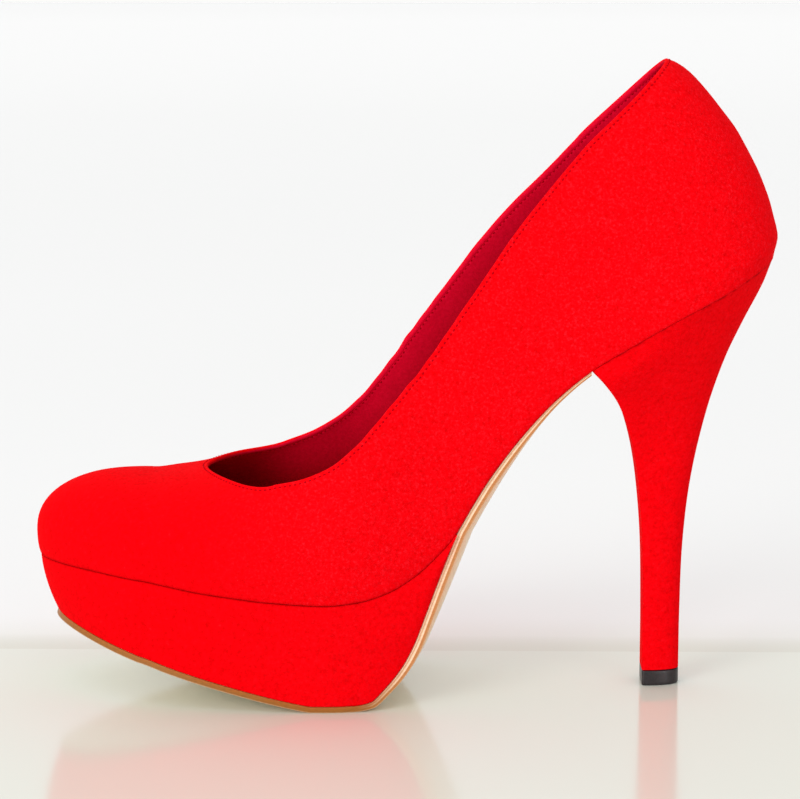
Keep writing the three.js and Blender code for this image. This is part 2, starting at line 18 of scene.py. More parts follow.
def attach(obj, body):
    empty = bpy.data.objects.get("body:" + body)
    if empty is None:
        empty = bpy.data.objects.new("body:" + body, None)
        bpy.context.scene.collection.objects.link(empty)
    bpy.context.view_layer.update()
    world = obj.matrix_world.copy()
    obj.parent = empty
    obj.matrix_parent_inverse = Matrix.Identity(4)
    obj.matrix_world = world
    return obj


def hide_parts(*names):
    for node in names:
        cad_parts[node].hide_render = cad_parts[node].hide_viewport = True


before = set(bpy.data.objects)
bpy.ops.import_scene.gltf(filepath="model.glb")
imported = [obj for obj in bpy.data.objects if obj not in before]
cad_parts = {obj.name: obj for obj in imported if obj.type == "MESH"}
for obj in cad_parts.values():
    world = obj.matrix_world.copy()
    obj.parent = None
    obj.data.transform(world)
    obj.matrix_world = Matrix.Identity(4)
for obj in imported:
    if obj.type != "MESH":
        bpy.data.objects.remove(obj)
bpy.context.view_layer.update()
MM = 0.001

# Sizes of the last
LAST_LENGTH = 215
BALL_WIDTH = 76
SEAT_WIDTH = 50
BALL_HEIGHT = 32.2
SEAT_HEIGHT = 128
TOE_RISE = 6.6
INSTEP_HEIGHT = 60
BACK_HEIGHT = 65.4
TOE_ROUND = 31.8
HEEL_ROUND = 29.2
TOE_SWING = 3
TREAD_PLACE = 0.4084

# Sizes of the materials
UPPER_WALL = 1.6
INSOLE_THICKNESS = 2
OUTSOLE_THICKNESS = 1.8
LAYERED_THICKNESS = 2.35
FIT_GAP = 0.3

# Sizes of the side wall
FEATHER_BULGE = 1.3
FEATHER_BULGE_HEIGHT = 6.6
ARCH_ROUNDNESS = 2.35
TOE_ROUNDNESS = 2.15
TOE_POINT = 0.36
TOE_PROFILE_ROUNDNESS = 2.12
SEAT_ROUNDNESS = 2.1
WIDTH_BLEND_START = 0.4
WIDTH_BLEND_END = 0.8

# Sizes of the collar
THROAT_FRONT = 0.2325
THROAT_END = 0.334
THROAT_ROUNDNESS = 1.7
BACK_CLIMB = 0.87

# Sizes of the platform and outsole
TREAD_LENGTH = 12
TOE_SPRING = 20.4
TOE_SPRING_POWER = 1.12
PLATFORM_LIP = 0.4
PLATFORM_TAPER = 1.6
TOE_UNDERCUT = 4.4
PLATFORM_SWELL = 0.7
PLATFORM_END = 0.574
WAIST_CROWN = 2.9
CROWN_FULLNESS = 3
CROWN_START = 0.455
CROWN_FULL = 0.56
CROWN_FALL = 0.57
CROWN_LOW = 0.73
CROWN_LEFT = 0.3
THINNING_START = 0.6
BREAST_THICKNESS = 0.55
SOLE_INSET = 0.3
BREAST_PLACE = 0.753

# Sizes of the heel
STEM_LENGTH = 11.2
STEM_WIDTH = 11
TIP_THICKNESS = 4.5
STEM_PLACE = 0.857
STEM_ROUNDNESS = 2.4

# Sizes of the fine detail
RIM_REACH = 6.0  # how far from the collar the wall is drawn back for its rounded edge
STITCH_INSET = 0.6  # from the rounded edge of the collar to the row of stitches
STITCH_PITCH = 1.5
STITCH_GAP = 0.5
STITCH_RADIUS = 0.15
STITCH_TROUGH = 0.12  # how deep the row of stitches pulls the suede in
STITCH_TROUGH_WIDTH = 0.3
LIP_RADIUS = 0.8  # rounded top edge of the platform cover
FOOT_RADIUS = 0.5  # and its bottom edge
SEAM_CLOSING = 0.25  # how far a cover's edge reaches into the gap below it
SEAM_REACH = 2.6  # how far up the wall that edge is drawn down
SEAM_SHADE = 1.1  # how far from a seam the painted shade in its groove reaches
# how much of the seams' painted shade is left over the heel block
HEEL_SEAM_SHADE = 0.25
SOLE_EDGE_SOFTNESS = 0.25
INSOLE_EDGE_RADIUS = 0.6
HEEL_EDGE_SOFTNESS = 0.55
TIP_EDGE_RADIUS = 0.45
TIP_TOP_RADIUS = 0.25


def table(columns, rows):
    """A list of rows that name their columns."""
    names = columns.split()
    return [dict(zip(names, row)) for row in rows]


# The last, a row for each section from toe to heel, as shares of the sizes above; lean is in degrees
LAST = table("along toe lift outer inner lean cone", [
    (0, 1, 0, 0.41, 0.392, 0, 0.428),
    (0.07, 0.975, 0, 0.41, 0.392, 0, 0.428),
    (0.148, 0.81, 0, 0.41, 0.392, 0, 0.428),
    (0.19, 0.66, 0, 0.449, 0.431, 0, 0.459),
    (0.232, 0.46, 0, 0.475, 0.453, 0, 0.508),
    (0.28, 0.28, 0, 0.491, 0.463, 0, 0.6),
    (0.325, 0.13, 0, 0.5, 0.459, 0, 0.72),
    (0.4, 0, 0, 0.501, 0.429, 0, 0.95),
    (0.445, 0, 0.008, 0.486, 0.394, 2, 1.13),
    (0.483, 0, 0.031, 0.468, 0.364, 5, 1.28),
    (0.52, 0, 0.078, 0.45, 0.338, 8, 1.39),
    (0.548, 0, 0.133, 0.437, 0.324, 11, 1.44),
    (0.571, 0, 0.19, 0.428, 0.32, 14, 1.45),
    (0.594, 0, 0.276, 0.42, 0.318, 16, 1.42),
    (0.618, 0, 0.361, 0.418, 0.323, 18.5, 1.4),
    (0.66, 0, 0.484, 0.419, 0.34, 22.5, 1.37),
    (0.706, 0, 0.595, 0.43, 0.369, 26, 1.4),
    (0.753, 0, 0.682, 0.448, 0.404, 28.5, 1.47),
    (0.8, 0, 0.748, 0.468, 0.442, 30, 1.53),
    (0.864, 0, 0.834, 0.49, 0.48, 30, 1.6),
    (0.93, 0, 0.912, 0.49, 0.48, 30, 1.6),
    (1, 0, 1, 0.49, 0.48, 30, 1.6),
])

# Height of the collar along each side, as shares of the back height
COLLAR = table("along outer inner", [
    (THROAT_END, 0.506, 0.54),
    (0.368, 0.54, 0.59),
    (0.41, 0.604, 0.675),
    (0.452, 0.682, 0.762),
    (0.49, 0.737, 0.825),
    (0.52, 0.758, 0.853),
    (0.55, 0.748, 0.853),
    (0.58, 0.707, 0.817),
    (0.61, 0.66, 0.765),
    (0.64, 0.638, 0.734),
    (0.67, 0.634, 0.722),
    (0.7, 0.645, 0.723),
    (0.734, 0.676, 0.735),
    (0.78, 0.731, 0.765),
    (0.83, 0.801, 0.808),
    (0.864, 0.848, 0.845),
])

# The curve of the heel back over the seat
BACK_CURVE = table("up out", [
    (0, 0), (0.075, 0.13), (0.16, 0.178), (0.25, 0.22), (0.4, 0.254), (0.55, 0.26),
    (0.7, 0.226), (0.8, 0.194), (0.9, 0.145), (0.96, 0.085), (1, 0.025),
])

# The platform's rear, from the end of the tread up to the waist
PLATFORM_REAR = table("along up", [
    (0.459, 0.014), (0.478, 0.086), (0.501, 0.206), (0.5175, 0.335),
    (0.534, 0.52), (0.5525, 0.735), (0.5765, 1),
])

# The heel block, a row for each level below the seat
HEEL = table("front front_up back back_up wide", [
    (0.77, 0.727, 0.893, 0.941, 0.872),
    (0.53, 0.68, 0.674, 0.854, 0.641),
    (0.337, 0.617, 0.475, 0.766, 0.41),
    (0.194, 0.543, 0.276, 0.645, 0.231),
    (0.093, 0.445, 0.109, 0.492, 0.118),
    (0.027, 0.328, 0.026, 0.34, 0.051),
    (0.003, 0.172, 0.002, 0.172, 0.015),
])


def mix(a, b, share):
    return a + (b - a) * share


def smooth(t):
    t = min(max(t, 0.0), 1.0)
    return t * t * (3 - 2 * t)


def curve_weights(t):
    """Along a smooth curve between two points: the share of the step, and of the slope at each end."""
    return 3 * t * t - 2 * t * t * t, t * (1 - t) * (1 - t), t * t * (t - 1)


def curve_through(rows, place, column):
    """Smooth curve through the rows of a table, with no overshoot between them."""
    s = [row[place] for row in rows]
    v = [row[column] for row in rows]
    last = len(rows) - 1
    secant = [(v[i + 1] - v[i]) / (s[i + 1] - s[i]) for i in range(last)]
    slope = [secant[0]]
    for before, after in zip(secant, secant[1:]):
        slope.append(0 if before * after <= 0 else 2 / (1 / before + 1 / after))
    slope.append(secant[-1])

    def value(at):
        i = min(max(bisect_right(s, at) - 1, 0), last - 1)
        width = s[i + 1] - s[i]
        t = (at - s[i]) / width
        if t > 1:
            return v[last] + secant[-1] * (at - s[last])
        rise, start, end = curve_weights(t)
        return v[i] + rise * (v[i + 1] - v[i]) + width * (start * slope[i] + end * slope[i + 1])

    return value


def x_at(along):
    return (along - TREAD_PLACE) * LAST_LENGTH


def along_at(x):
    return x / LAST_LENGTH + TREAD_PLACE


toe_lift = curve_through(LAST, "along", "toe")
seat_lift = curve_through(LAST, "along", "lift")
outer_share = curve_through(LAST, "along", "outer")
inner_share = curve_through(LAST, "along", "inner")
lean_degrees = curve_through(LAST, "along", "lean")
cone_share = curve_through(LAST, "along", "cone")
collar_outer = curve_through(COLLAR, "along", "outer")
collar_inner = curve_through(COLLAR, "along", "inner")
back_share = curve_through(BACK_CURVE, "up", "out")

TOE_X = x_at(0) + TOE_ROUND
SEAT_X = x_at(1) - HEEL_ROUND
THROAT_X = x_at(THROAT_FRONT)
THROAT_END_X = x_at(THROAT_END)
BREAST_X = x_at(BREAST_PLACE)
TREAD_START_X = -TREAD_LENGTH / 2
SOLE_TOE_X = x_at(0) + TOE_UNDERCUT
WAIST_ALONG = PLATFORM_REAR[-1]["along"]
STEM_FRONT_X = x_at(STEM_PLACE) - STEM_LENGTH / 2
STEM_BACK_X = x_at(STEM_PLACE) + STEM_LENGTH / 2
SLOPE_STEP = 0.05

rear_rows = [
    {"along": along_at(TREAD_START_X), "up": 0},
    {"along": along_at(-TREAD_START_X), "up": 0},
    *PLATFORM_REAR,
]
rear_share = curve_through(rear_rows, "along", "up")


def feather_height(x):
    """Height of the bottom edge of the upper."""
    along = along_at(x)
    return BALL_HEIGHT + TOE_RISE * toe_lift(along) + (SEAT_HEIGHT - BALL_HEIGHT) * seat_lift(along)


def slope_of(height, x):
    return (height(x + SLOPE_STEP) - height(x - SLOPE_STEP)) / (2 * SLOPE_STEP)


def offset_height(height, x, gap):
    """Height a gap away from a surface, measured square to it."""
    return height(x) + gap * math.hypot(1, slope_of(height, x))


def half_width(x, side):
    along = along_at(x)
    blend = smooth((along - WIDTH_BLEND_START) / (WIDTH_BLEND_END - WIDTH_BLEND_START))
    share = outer_share(along) if side < 0 else inner_share(along)
    return share * mix(BALL_WIDTH, SEAT_WIDTH, blend)


def lean_at(x):
    return math.radians(lean_degrees(along_at(x)))


def cone_height(x):
    return cone_share(along_at(x)) * INSTEP_HEIGHT


def swing_at(x):
    return TOE_SWING * (x / x_at(0)) ** 2 if x < 0 else 0


def last_point(x, side, out, up):
    """A point of the last over station x, out to one side and up along the section's lean."""
    lean = lean_at(x)
    y = swing_at(x) + side * out
    return (x - up * math.sin(lean), y, feather_height(x) + up * math.cos(lean))


# Columns run round the shoe: straight stations with a fan at the toe and one at the heel
def fan(count, roundness, narrowing):
    columns = []
    for i in range(count):
        turn = (i + 1) / count * math.pi / 2
        reach = math.sin(turn) ** (2 / roundness)
        spread = 0 if i + 1 == count else math.cos(turn) ** (2 / roundness)
        columns.append((reach, spread * (1 - narrowing * reach)))
    return columns


TOE_COLUMNS = 44
HEEL_COLUMNS = 40
VAMP_STATIONS = 16
THROAT_STATIONS = 40
QUARTER_STATIONS = 100
TUCK_STEPS = 12
WALL_STEPS = 90
MIDDLE_ROWS = 26
RIM_TURNS = 10
SUEDE_TURNS = 6

toe_fan = fan(TOE_COLUMNS, TOE_ROUNDNESS, TOE_POINT)[::-1]
heel_fan = fan(HEEL_COLUMNS, SEAT_ROUNDNESS, 0)

# Lengths along a wall column at its bottom edge, and back from its collar edge
FOOT_MARKS = np.array([0, 0.4, 0.8, 1.3, 1.9, 2.6, 3.4, 4.4, 5.6, 7])
EDGE_MARKS = np.array([
    0, 0.15, 0.28, 0.4, 0.5, 0.6, 0.7, 0.8, 0.92, 1.05, 1.25, 1.5, 1.9, 2.4, 3.1, 4.2, 6,
])


def throat_station(i):
    turn = i / THROAT_STATIONS * math.pi / 2
    return THROAT_X + (THROAT_END_X - THROAT_X) * (1 - math.cos(turn))


upper_stations = [
    *np.linspace(TOE_X, THROAT_X - EDGE_MARKS[-1], VAMP_STATIONS, endpoint=False),
    *(THROAT_X - EDGE_MARKS[:0:-1]),
    *[throat_station(i) for i in range(THROAT_STATIONS)],
    *np.linspace(THROAT_END_X, SEAT_X, QUARTER_STATIONS),
]
COLLAR_START = TOE_COLUMNS + VAMP_STATIONS + len(EDGE_MARKS) - 1


def arch_point(half, cone, turn, roundness):
    """Half a section over the foot: turn is 0 at the widest place and a right angle at the top."""
    out = (half + FEATHER_BULGE) * max(math.cos(turn), 0) ** (2 / roundness)
    rise = math.sin(turn) ** (2 / ARCH_ROUNDNESS)
    return out, FEATHER_BULGE_HEIGHT + (cone - FEATHER_BULGE_HEIGHT) * rise


def tuck_point(half, share):
    """The tucked-in bottom edge of a section."""
    turn = share * math.pi / 2
    return half + FEATHER_BULGE * math.sin(turn), FEATHER_BULGE_HEIGHT * (1 - math.cos(turn))


def turn_at_height(cone, up):
    share = (up - FEATHER_BULGE_HEIGHT) / (cone - FEATHER_BULGE_HEIGHT)
    return math.asin(share ** (ARCH_ROUNDNESS / 2))


def turn_at_width(half, out):
    return math.acos((out / (half + FEATHER_BULGE)) ** (ARCH_ROUNDNESS / 2))


def collar_height(x, side):
    share = collar_outer if side < 0 else collar_inner
    return BACK_HEIGHT * share(along_at(x))


def collar_turn(x, side):
    """How far round the section the collar cuts it."""
    if x <= THROAT_X:
        return math.pi / 2
    if x >= THROAT_END_X:
        return turn_at_height(cone_height(x), collar_height(x, side))
    end_cone = cone_height(THROAT_END_X)
    end_turn = turn_at_height(end_cone, collar_height(THROAT_END_X, side))
    end_width = arch_point(half_width(THROAT_END_X, side), end_cone, end_turn, ARCH_ROUNDNESS)[0]
    short = (THROAT_END_X - x) / (THROAT_END_X - THROAT_X)
    open_share = (1 - short ** THROAT_ROUNDNESS) ** (1 / THROAT_ROUNDNESS)
    return turn_at_width(half_width(x, side), end_width * open_share)


def fan_collar_turn(reach, side):
    up = mix(collar_height(SEAT_X, side), BACK_HEIGHT, reach ** BACK_CLIMB)
    return turn_at_height(cone_height(SEAT_X), up)


def back_offset(up):
    return HEEL_ROUND * back_share(min(up / BACK_HEIGHT, 1))


def section_rows(half, cone, end_turn, roundness=ARCH_ROUNDNESS):
    rows = [tuck_point(half, i / TUCK_STEPS) for i in range(TUCK_STEPS)]
    for i in range(WALL_STEPS + 1):
        rows.append(arch_point(half, cone, end_turn * i / WALL_STEPS, roundness))
    return rows


def toe_column(column, side, inset):
    reach, spread = column
    cone = cone_height(TOE_X) - inset
    sideways = section_rows(half_width(TOE_X, side) - inset, cone, math.pi / 2)
    forwards = section_rows(TOE_ROUND - inset, cone, math.pi / 2, TOE_PROFILE_ROUNDNESS)
    rows = zip(sideways, forwards)
    return [last_point(TOE_X - ahead * reach, side, out * spread, up) for (out, up), (ahead, _) in rows]


def station_column(x, side, inset):
    rows = section_rows(half_width(x, side) - inset, cone_height(x) - inset, collar_turn(x, side))
    return [last_point(x, side, out, up) for out, up in rows]


def heel_column(column, side, inset):
    reach, spread = column
    rows = section_rows(
        half_width(SEAT_X, side) - inset, cone_height(SEAT_X) - inset, fan_collar_turn(reach, side)
    )
    length = HEEL_ROUND - inset
    return [
        last_point(SEAT_X + (length + back_offset(up)) * reach, side, out * spread, up)
        for out, up in rows
    ]


def unit(vectors):
    return vectors / np.linalg.norm(vectors, axis=-1, keepdims=True)


def lengths_along(points):
    steps = np.linalg.norm(np.diff(points, axis=0), axis=1)
    return np.concatenate([[0], np.cumsum(steps)])


def resample(points, lengths, marks):
    """Points of a polyline at the given lengths along it."""
    return np.stack([np.interp(marks, lengths, points[:, k]) for k in range(points.shape[1])], axis=1)


def wall_column(points):
    """A column with close rows near its bottom and collar edges, its bottom drawn down to the seam."""
    points = np.array(points)
    lengths = lengths_along(points)
    total = lengths[-1]
    middle = np.linspace(FOOT_MARKS[-1], total - EDGE_MARKS[-1], MIDDLE_ROWS)
    marks = np.concatenate([FOOT_MARKS, middle[1:-1], total - EDGE_MARKS[::-1]])
    slope = slope_of(feather_height, points[0, 0])
    down = unit(np.array([slope, 0, -1]))
    reach = np.interp(marks, [0, SEAM_REACH], [SEAM_CLOSING, 0])
    return resample(points, lengths, marks) + down * reach[:, None]


def upper_sheet(side, inset):
    columns = [toe_column(column, side, inset) for column in toe_fan]
    columns += [station_column(x, side, inset) for x in upper_stations]
    columns += [heel_column(column, side, inset) for column in heel_fan]
    return np.array([wall_column(column) for column in columns])


def quads(columns, rows, first):
    """The faces of a grid of points, of which the first one has that number."""
    corners = [first + i * rows + j for i in range(columns - 1) for j in range(rows - 1)]
    return [(a, a + rows, a + rows + 1, a + 1) for a in corners]


class Shell:
    """Collects grids of points as quads, each with a material, and makes one welded mesh."""

    def __init__(self):
        self.points = []
        self.tones = []
        self.faces = []
        self.looks = []
        self.count = 0

    def grid(self, points, look=0, tones=0):
        """Look is a material's number, or a function of column and row.

        The tones are one value, one a row or one a point.
        """
        columns, rows, _ = points.shape
        self.points.append(points.reshape(-1, 3))
        self.tones.append((np.zeros((columns, rows)) + tones).ravel())
        self.faces += quads(columns, rows, self.count)
        for i in range(columns - 1):
            self.looks += [look(i, j) if callable(look) else look for j in range(rows - 1)]
        self.count += columns * rows

    def make(self, name, materials, sharp=40, weld=4e-3):
        points = np.concatenate(self.points) * MM
        mesh = bpy.data.meshes.new(name)
        mesh.from_pydata(points.tolist(), [], self.faces)
        mesh.polygons.foreach_set("material_index", self.looks)
        tones = mesh.attributes.new("tone", "FLOAT", "POINT")
        tones.data.foreach_set("value", np.concatenate(self.tones))
        work = bmesh.new()
        work.from_mesh(mesh)
        bmesh.ops.remove_doubles(work, verts=work.verts, dist=weld * MM)
        bmesh.ops.dissolve_degenerate(work, dist=1e-7, edges=work.edges)
        bmesh.ops.recalc_face_normals(work, faces=work.faces)
        work.to_mesh(mesh)
        work.free()
        for material in materials:
            mesh.materials.append(material)
        mesh.polygons.foreach_set("use_smooth", [True] * len(mesh.polygons))
        mesh.set_sharp_from_angle(angle=math.radians(sharp))
        piece = bpy.data.objects.new(name, mesh)
        bpy.context.scene.collection.objects.link(piece)
        return piece


def point_tree(points):
    tree = KDTree(len(points))
    for i, point in enumerate(points):
        tree.insert(point, i)
    tree.balance()
    return tree


def collar_loop(outer_side, inner_side):
    """The collar edge of a sheet, from the throat back along the outer side and forward on the inner."""
    return np.concatenate([outer_side[COLLAR_START:, -1], inner_side[COLLAR_START + 1:-1, -1][::-1]])


def sheet_tree(sheets):
    """A search tree over both sides of one sheet of the wall."""
    points = []
    faces = []
    for sheet in sheets.values():
        columns, rows, _ = sheet.shape
        faces += quads(columns, rows, len(points))
        points += sheet.reshape(-1, 3).tolist()
    return BVHTree.FromPolygons(points, faces)


def on_sheet(points, tree, facing):
    """The nearest points of a sheet, and its normals turned to one side."""
    places = []
    normals = []
    for point, side in zip(points, facing):
        place, normal, _, _ = tree.find_nearest(Vector(point))
        places.append(place)
        normals.append(normal if normal.dot(Vector(side)) > 0 else -normal)
    return np.array(places), np.array(normals)


COLLAR_SOFTENING = 4


def softened(vectors, rounds):
    """A closed run of vectors, each drawn a little towards its neighbours."""
    for _ in range(rounds):
        vectors = vectors * 0.5 + (np.roll(vectors, 1, axis=0) + np.roll(vectors, -1, axis=0)) * 0.25
    return vectors


def collar_directions(loop, tree, outward):
    """The way off a sheet's edge, in the sheet's own surface, at each point of its collar."""
    tangent = np.roll(loop, -1, axis=0) - np.roll(loop, 1, axis=0)
    normals = on_sheet(loop, tree, outward)[1]
    return unit(softened(unit(np.cross(normals, tangent)), COLLAR_SOFTENING))


def drawn_back(sheet, loop, off):
    """The wall moved back from the collar by half its thickness, to leave room for a rounded edge."""
    tree = point_tree(loop)
    flat = sheet.reshape(-1, 3).copy()
    for k, point in enumerate(flat):
        _, nearest, distance = tree.find(point)
        if distance < RIM_REACH:
            flat[k] = point - off[nearest] * (UPPER_WALL / 2) * (1 - smooth(distance / RIM_REACH))
    return flat.reshape(sheet.shape)


def pulled_in(sheet, other, loop):
    """A shallow trough along the row of stitches, towards the other sheet of the wall."""
    tree = point_tree(loop)
    flat = sheet.reshape(-1, 3).copy()
    inward = unit(other - sheet).reshape(-1, 3)
    for k, point in enumerate(flat):
        distance = tree.find(point)[2]
        depth = STITCH_TROUGH * math.exp(-(((distance - STITCH_INSET) / STITCH_TROUGH_WIDTH) ** 2))
        flat[k] = point + inward[k] * depth
    return flat.reshape(sheet.shape)


LINING_SHADE = 14  # how far below the collar the painted shade in the lining reaches its darkest


def depth_below(sheet, loop):
    """How deep each point of a sheet lies below the collar, up to 1."""
    tree = point_tree(loop)
    depths = [tree.find(point)[2] / LINING_SHADE for point in sheet.reshape(-1, 3)]
    return np.minimum(depths, 1).reshape(sheet.shape[:2])


def seam_shade_tones(sheet):
    """Painted shade along the upper's bottom seam: 1 at the bottom edge of the wall, down to 0 a little
    above it, and fainter over the heel block.
    """
    rows = np.zeros(sheet.shape[1])
    rows[:len(FOOT_MARKS)] = np.interp(FOOT_MARKS, [0, SEAM_SHADE], [1, 0])
    columns = np.interp(sheet[:, 0, 0], [x_at(WAIST_ALONG), BREAST_X], [1, HEEL_SEAM_SHADE])
    return columns[:, None] * rows[None]


def make_upper():
    """The upper, and for each sheet of its wall the line that its stitches follow."""
    sheets = [{side: upper_sheet(side, inset) for side in (-1, 1)} for inset in (0, UPPER_WALL)]
    loops = [collar_loop(sheet[-1], sheet[1]) for sheet in sheets]
    outward = loops[0] - loops[1]
    offs = [collar_directions(loop, sheet_tree(sheet), outward) for loop, sheet in zip(loops, sheets)]
    drawn = [
        {side: drawn_back(sheet[side], loop, off) for side in (-1, 1)}
        for sheet, loop, off in zip(sheets, loops, offs)
    ]
    edges = [collar_loop(sheet[-1], sheet[1]) for sheet in drawn]
    troughs = [
        {side: pulled_in(drawn[k][side], drawn[1 - k][side], edges[k]) for side in (-1, 1)}
        for k in (0, 1)
    ]
    shell = Shell()
    for side in (-1, 1):
        outside, inside = troughs[0][side], troughs[1][side]
        shell.grid(outside, 0, seam_shade_tones(outside))
        # The lining's tone is painted shade, growing with the depth below the collar; the strip along the
        # bottom edge takes the darkest.
        shell.grid(inside, 1, depth_below(inside, edges[1]))
        shell.grid(np.stack([outside[:, 0], inside[:, 0]], axis=1), 1, 1)
    rim = collar_rim(edges, offs)
    shell.grid(np.concatenate([rim, rim[:1]]), lambda _, turn: 0 if turn < SUEDE_TURNS else 1)
    seams = [
        stitch_line(edges[k], offs[k], sheet_tree(troughs[k]), outward * (1 - 2 * k))
        for k in (0, 1)
    ]
    return shell, seams


def collar_rim(edges, offs):
    """The rounded edge of the wall, from the outer sheet over to the inner one."""
    centre = (edges[0] + edges[1]) / 2
    half = (edges[0] - edges[1]) / 2
    off = unit(offs[0] + offs[1])
    radius = np.linalg.norm(half, axis=1, keepdims=True)
    turns = np.linspace(0, math.pi, RIM_TURNS + 1)
    return np.stack([centre + half * math.cos(t) + off * radius * math.sin(t) for t in turns], axis=1)


def stitch_line(edge, off, tree, facing):
    """The line of the stitches on a sheet, a closed run of points with the sheet's normals."""
    line, normals = on_sheet(edge - off * STITCH_INSET, tree, facing)
    normals = unit(softened(normals, COLLAR_SOFTENING))
    return np.concatenate([line, line[:1]]), np.concatenate([normals, normals[:1]])


# A side's sign, and the place of its half width in a column of an outline
SIDES = ((-1, 1), (1, 2))


# Outlines of the flat pieces: columns of x and the half widths
def outline(inset, stations, toe_length, heel_length):
    columns = []
    toe = [half_width(TOE_X, side) - inset for side in (-1, 1)]
    if toe_length:
        columns += [(TOE_X - toe_length * r, toe[0] * s, toe[1] * s) for r, s in toe_fan]
    columns += [(x, half_width(x, -1) - inset, half_width(x, 1) - inset) for x in stations]
    seat = [half_width(SEAT_X, side) - inset for side in (-1, 1)]
    if heel_length:
        columns += [(SEAT_X + heel_length * r, seat[0] * s, seat[1] * s) for r, s in heel_fan]
    return columns


def plan_normals(edge, side):
    """The way out of an outline, seen from above, at each point of one side's edge."""
    tangent = np.gradient(edge[:, :2], axis=0)
    normal = unit(np.stack([tangent[:, 1], -tangent[:, 0]], axis=1) * -side)
    return np.concatenate([normal, np.zeros((len(normal), 1))], axis=1)


def blunt_ends(normals, toe, heel):
    """At a rounded end both sides meet, so the way out there is straight ahead or back."""
    if toe:
        normals[0] = (-1, 0, 0)
    if heel:
        normals[-1] = (1, 0, 0)
    return normals


def across(first, second, count):
    """Rows of points from one edge to the other."""
    shares = np.linspace(0, 1, count)
    return np.stack([first + (second - first) * share for share in shares], axis=1)


LOW_ROWS = 6
SIDE_ROWS = 14
HIGH_ROWS = 7
ROUND_SHARE = 0.35  # how much of the height a rounded edge takes at most
FLAT_ROWS = 5


def side_shade_tones(rows):
    """Painted shade in the seams for the rows of a rounded side: 1 at the top edge and some at the bottom
    one.
    """
    tones = np.zeros(rows)
    tones[:LOW_ROWS] = np.linspace(0.7, 0, LOW_ROWS)
    tones[-HIGH_ROWS:] = np.linspace(0, 1, HIGH_ROWS)
    return tones


def rounded_side(low, high, normal, low_radius, high_radius, swell):
    """One side of a slab from its bottom face to its top face, with rounded edges and a swelling wall."""
    rise = unit(high - low)
    height = np.linalg.norm(high - low, axis=1, keepdims=True)
    low_r = np.minimum(low_radius, height * ROUND_SHARE)
    high_r = np.minimum(high_radius, height * ROUND_SHARE)
    rows = []
    for turn in np.linspace(0, math.pi / 2, LOW_ROWS):
        rows.append(low - normal * low_r * (1 - math.sin(turn)) + rise * low_r * (1 - math.cos(turn)))
    for share in np.linspace(0, 1, SIDE_ROWS)[1:-1]:
        start = low + rise * low_r
        stop = high - rise * high_r
        bow = 4 * share * (1 - share)
        rows.append(start + (stop - start) * share + normal * swell * bow)
    for turn in np.linspace(0, math.pi / 2, HIGH_ROWS):
        rows.append(high - rise * high_r * (1 - math.sin(turn)) - normal * high_r * (1 - math.cos(turn)))
    return np.stack(rows, axis=1)


def platform_taper(x):
    return PLATFORM_TAPER * (1 - smooth((along_at(x) - TREAD_PLACE) / (WAIST_ALONG - TREAD_PLACE)))


def foot_width(column, width):
    """How far the platform's foot, or the sole under it, reaches to one side at an outline's column."""
    narrow = platform_taper(column[0]) * min(column[1] / half_width(TOE_X, -1), 1)
    return max(column[width] - narrow, 0)


def waist_height(x):
    return offset_height(feather_height, x, -FIT_GAP)


def sole_height(x):
    """The top face of the outsole."""
    if x < TREAD_START_X:
        share = (TREAD_START_X - x) / (TREAD_START_X - SOLE_TOE_X)
        return OUTSOLE_THICKNESS + TOE_SPRING * share ** TOE_SPRING_POWER
    waist_x = x_at(WAIST_ALONG)
    if x > waist_x:
        return waist_height(x)
    return mix(OUTSOLE_THICKNESS, waist_height(waist_x), rear_share(along_at(x)))


PLATFORM_STATIONS = 70
INSOLE_STATIONS = 90
INSOLE_TURNS = 6
SOCK_ROWS = 12


def sole_slope(x):
    return 0 if abs(x) <= -TREAD_START_X else slope_of(sole_height, x)


def make_platform():
    stations = np.linspace(TOE_X, x_at(PLATFORM_END), PLATFORM_STATIONS)
    tops = outline(-PLATFORM_LIP, stations, TOE_ROUND + PLATFORM_LIP, 0)
    feet = outline(0, stations, TOE_ROUND - TOE_UNDERCUT, 0)
    shell = Shell()
    sides = {}
    for side, width in SIDES:
        high = []
        low = []
        for top, foot in zip(tops, feet):
            foot_z = offset_height(sole_height, foot[0], FIT_GAP - SEAM_CLOSING)
            top_z = offset_height(feather_height, top[0], -FIT_GAP)
            low.append((foot[0], swing_at(foot[0]) + side * foot_width(foot, width), foot_z))
            high.append((top[0], swing_at(top[0]) + side * top[width], top_z))
        high = np.array(high)
        low = np.array(low)
        normal = blunt_ends(plan_normals(high, side), True, False)
        sides[side] = rounded_side(low, high, normal, FOOT_RADIUS, LIP_RADIUS, PLATFORM_SWELL)
        shell.grid(sides[side], 0, side_shade_tones(sides[side].shape[1]))
    # The top face, hidden under the upper, takes the full painted shade.
    shell.grid(across(sides[-1][:, -1], sides[1][:, -1], FLAT_ROWS), 0, 1)
    shell.grid(across(sides[-1][:, 0], sides[1][:, 0], FLAT_ROWS), 0)
    shell.grid(across(sides[-1][-1], sides[1][-1], FLAT_ROWS), 0)
    return shell


def insole_edge():
    """The insole's rounded side: how far in, and how high."""
    shoulder = INSOLE_THICKNESS - INSOLE_EDGE_RADIUS
    turns = np.linspace(0, math.pi / 2, INSOLE_TURNS)
    rounded = [
        (INSOLE_EDGE_RADIUS * (1 - math.cos(t)), shoulder + INSOLE_EDGE_RADIUS * math.sin(t))
        for t in turns
    ]
    return [(0, 0), *rounded]


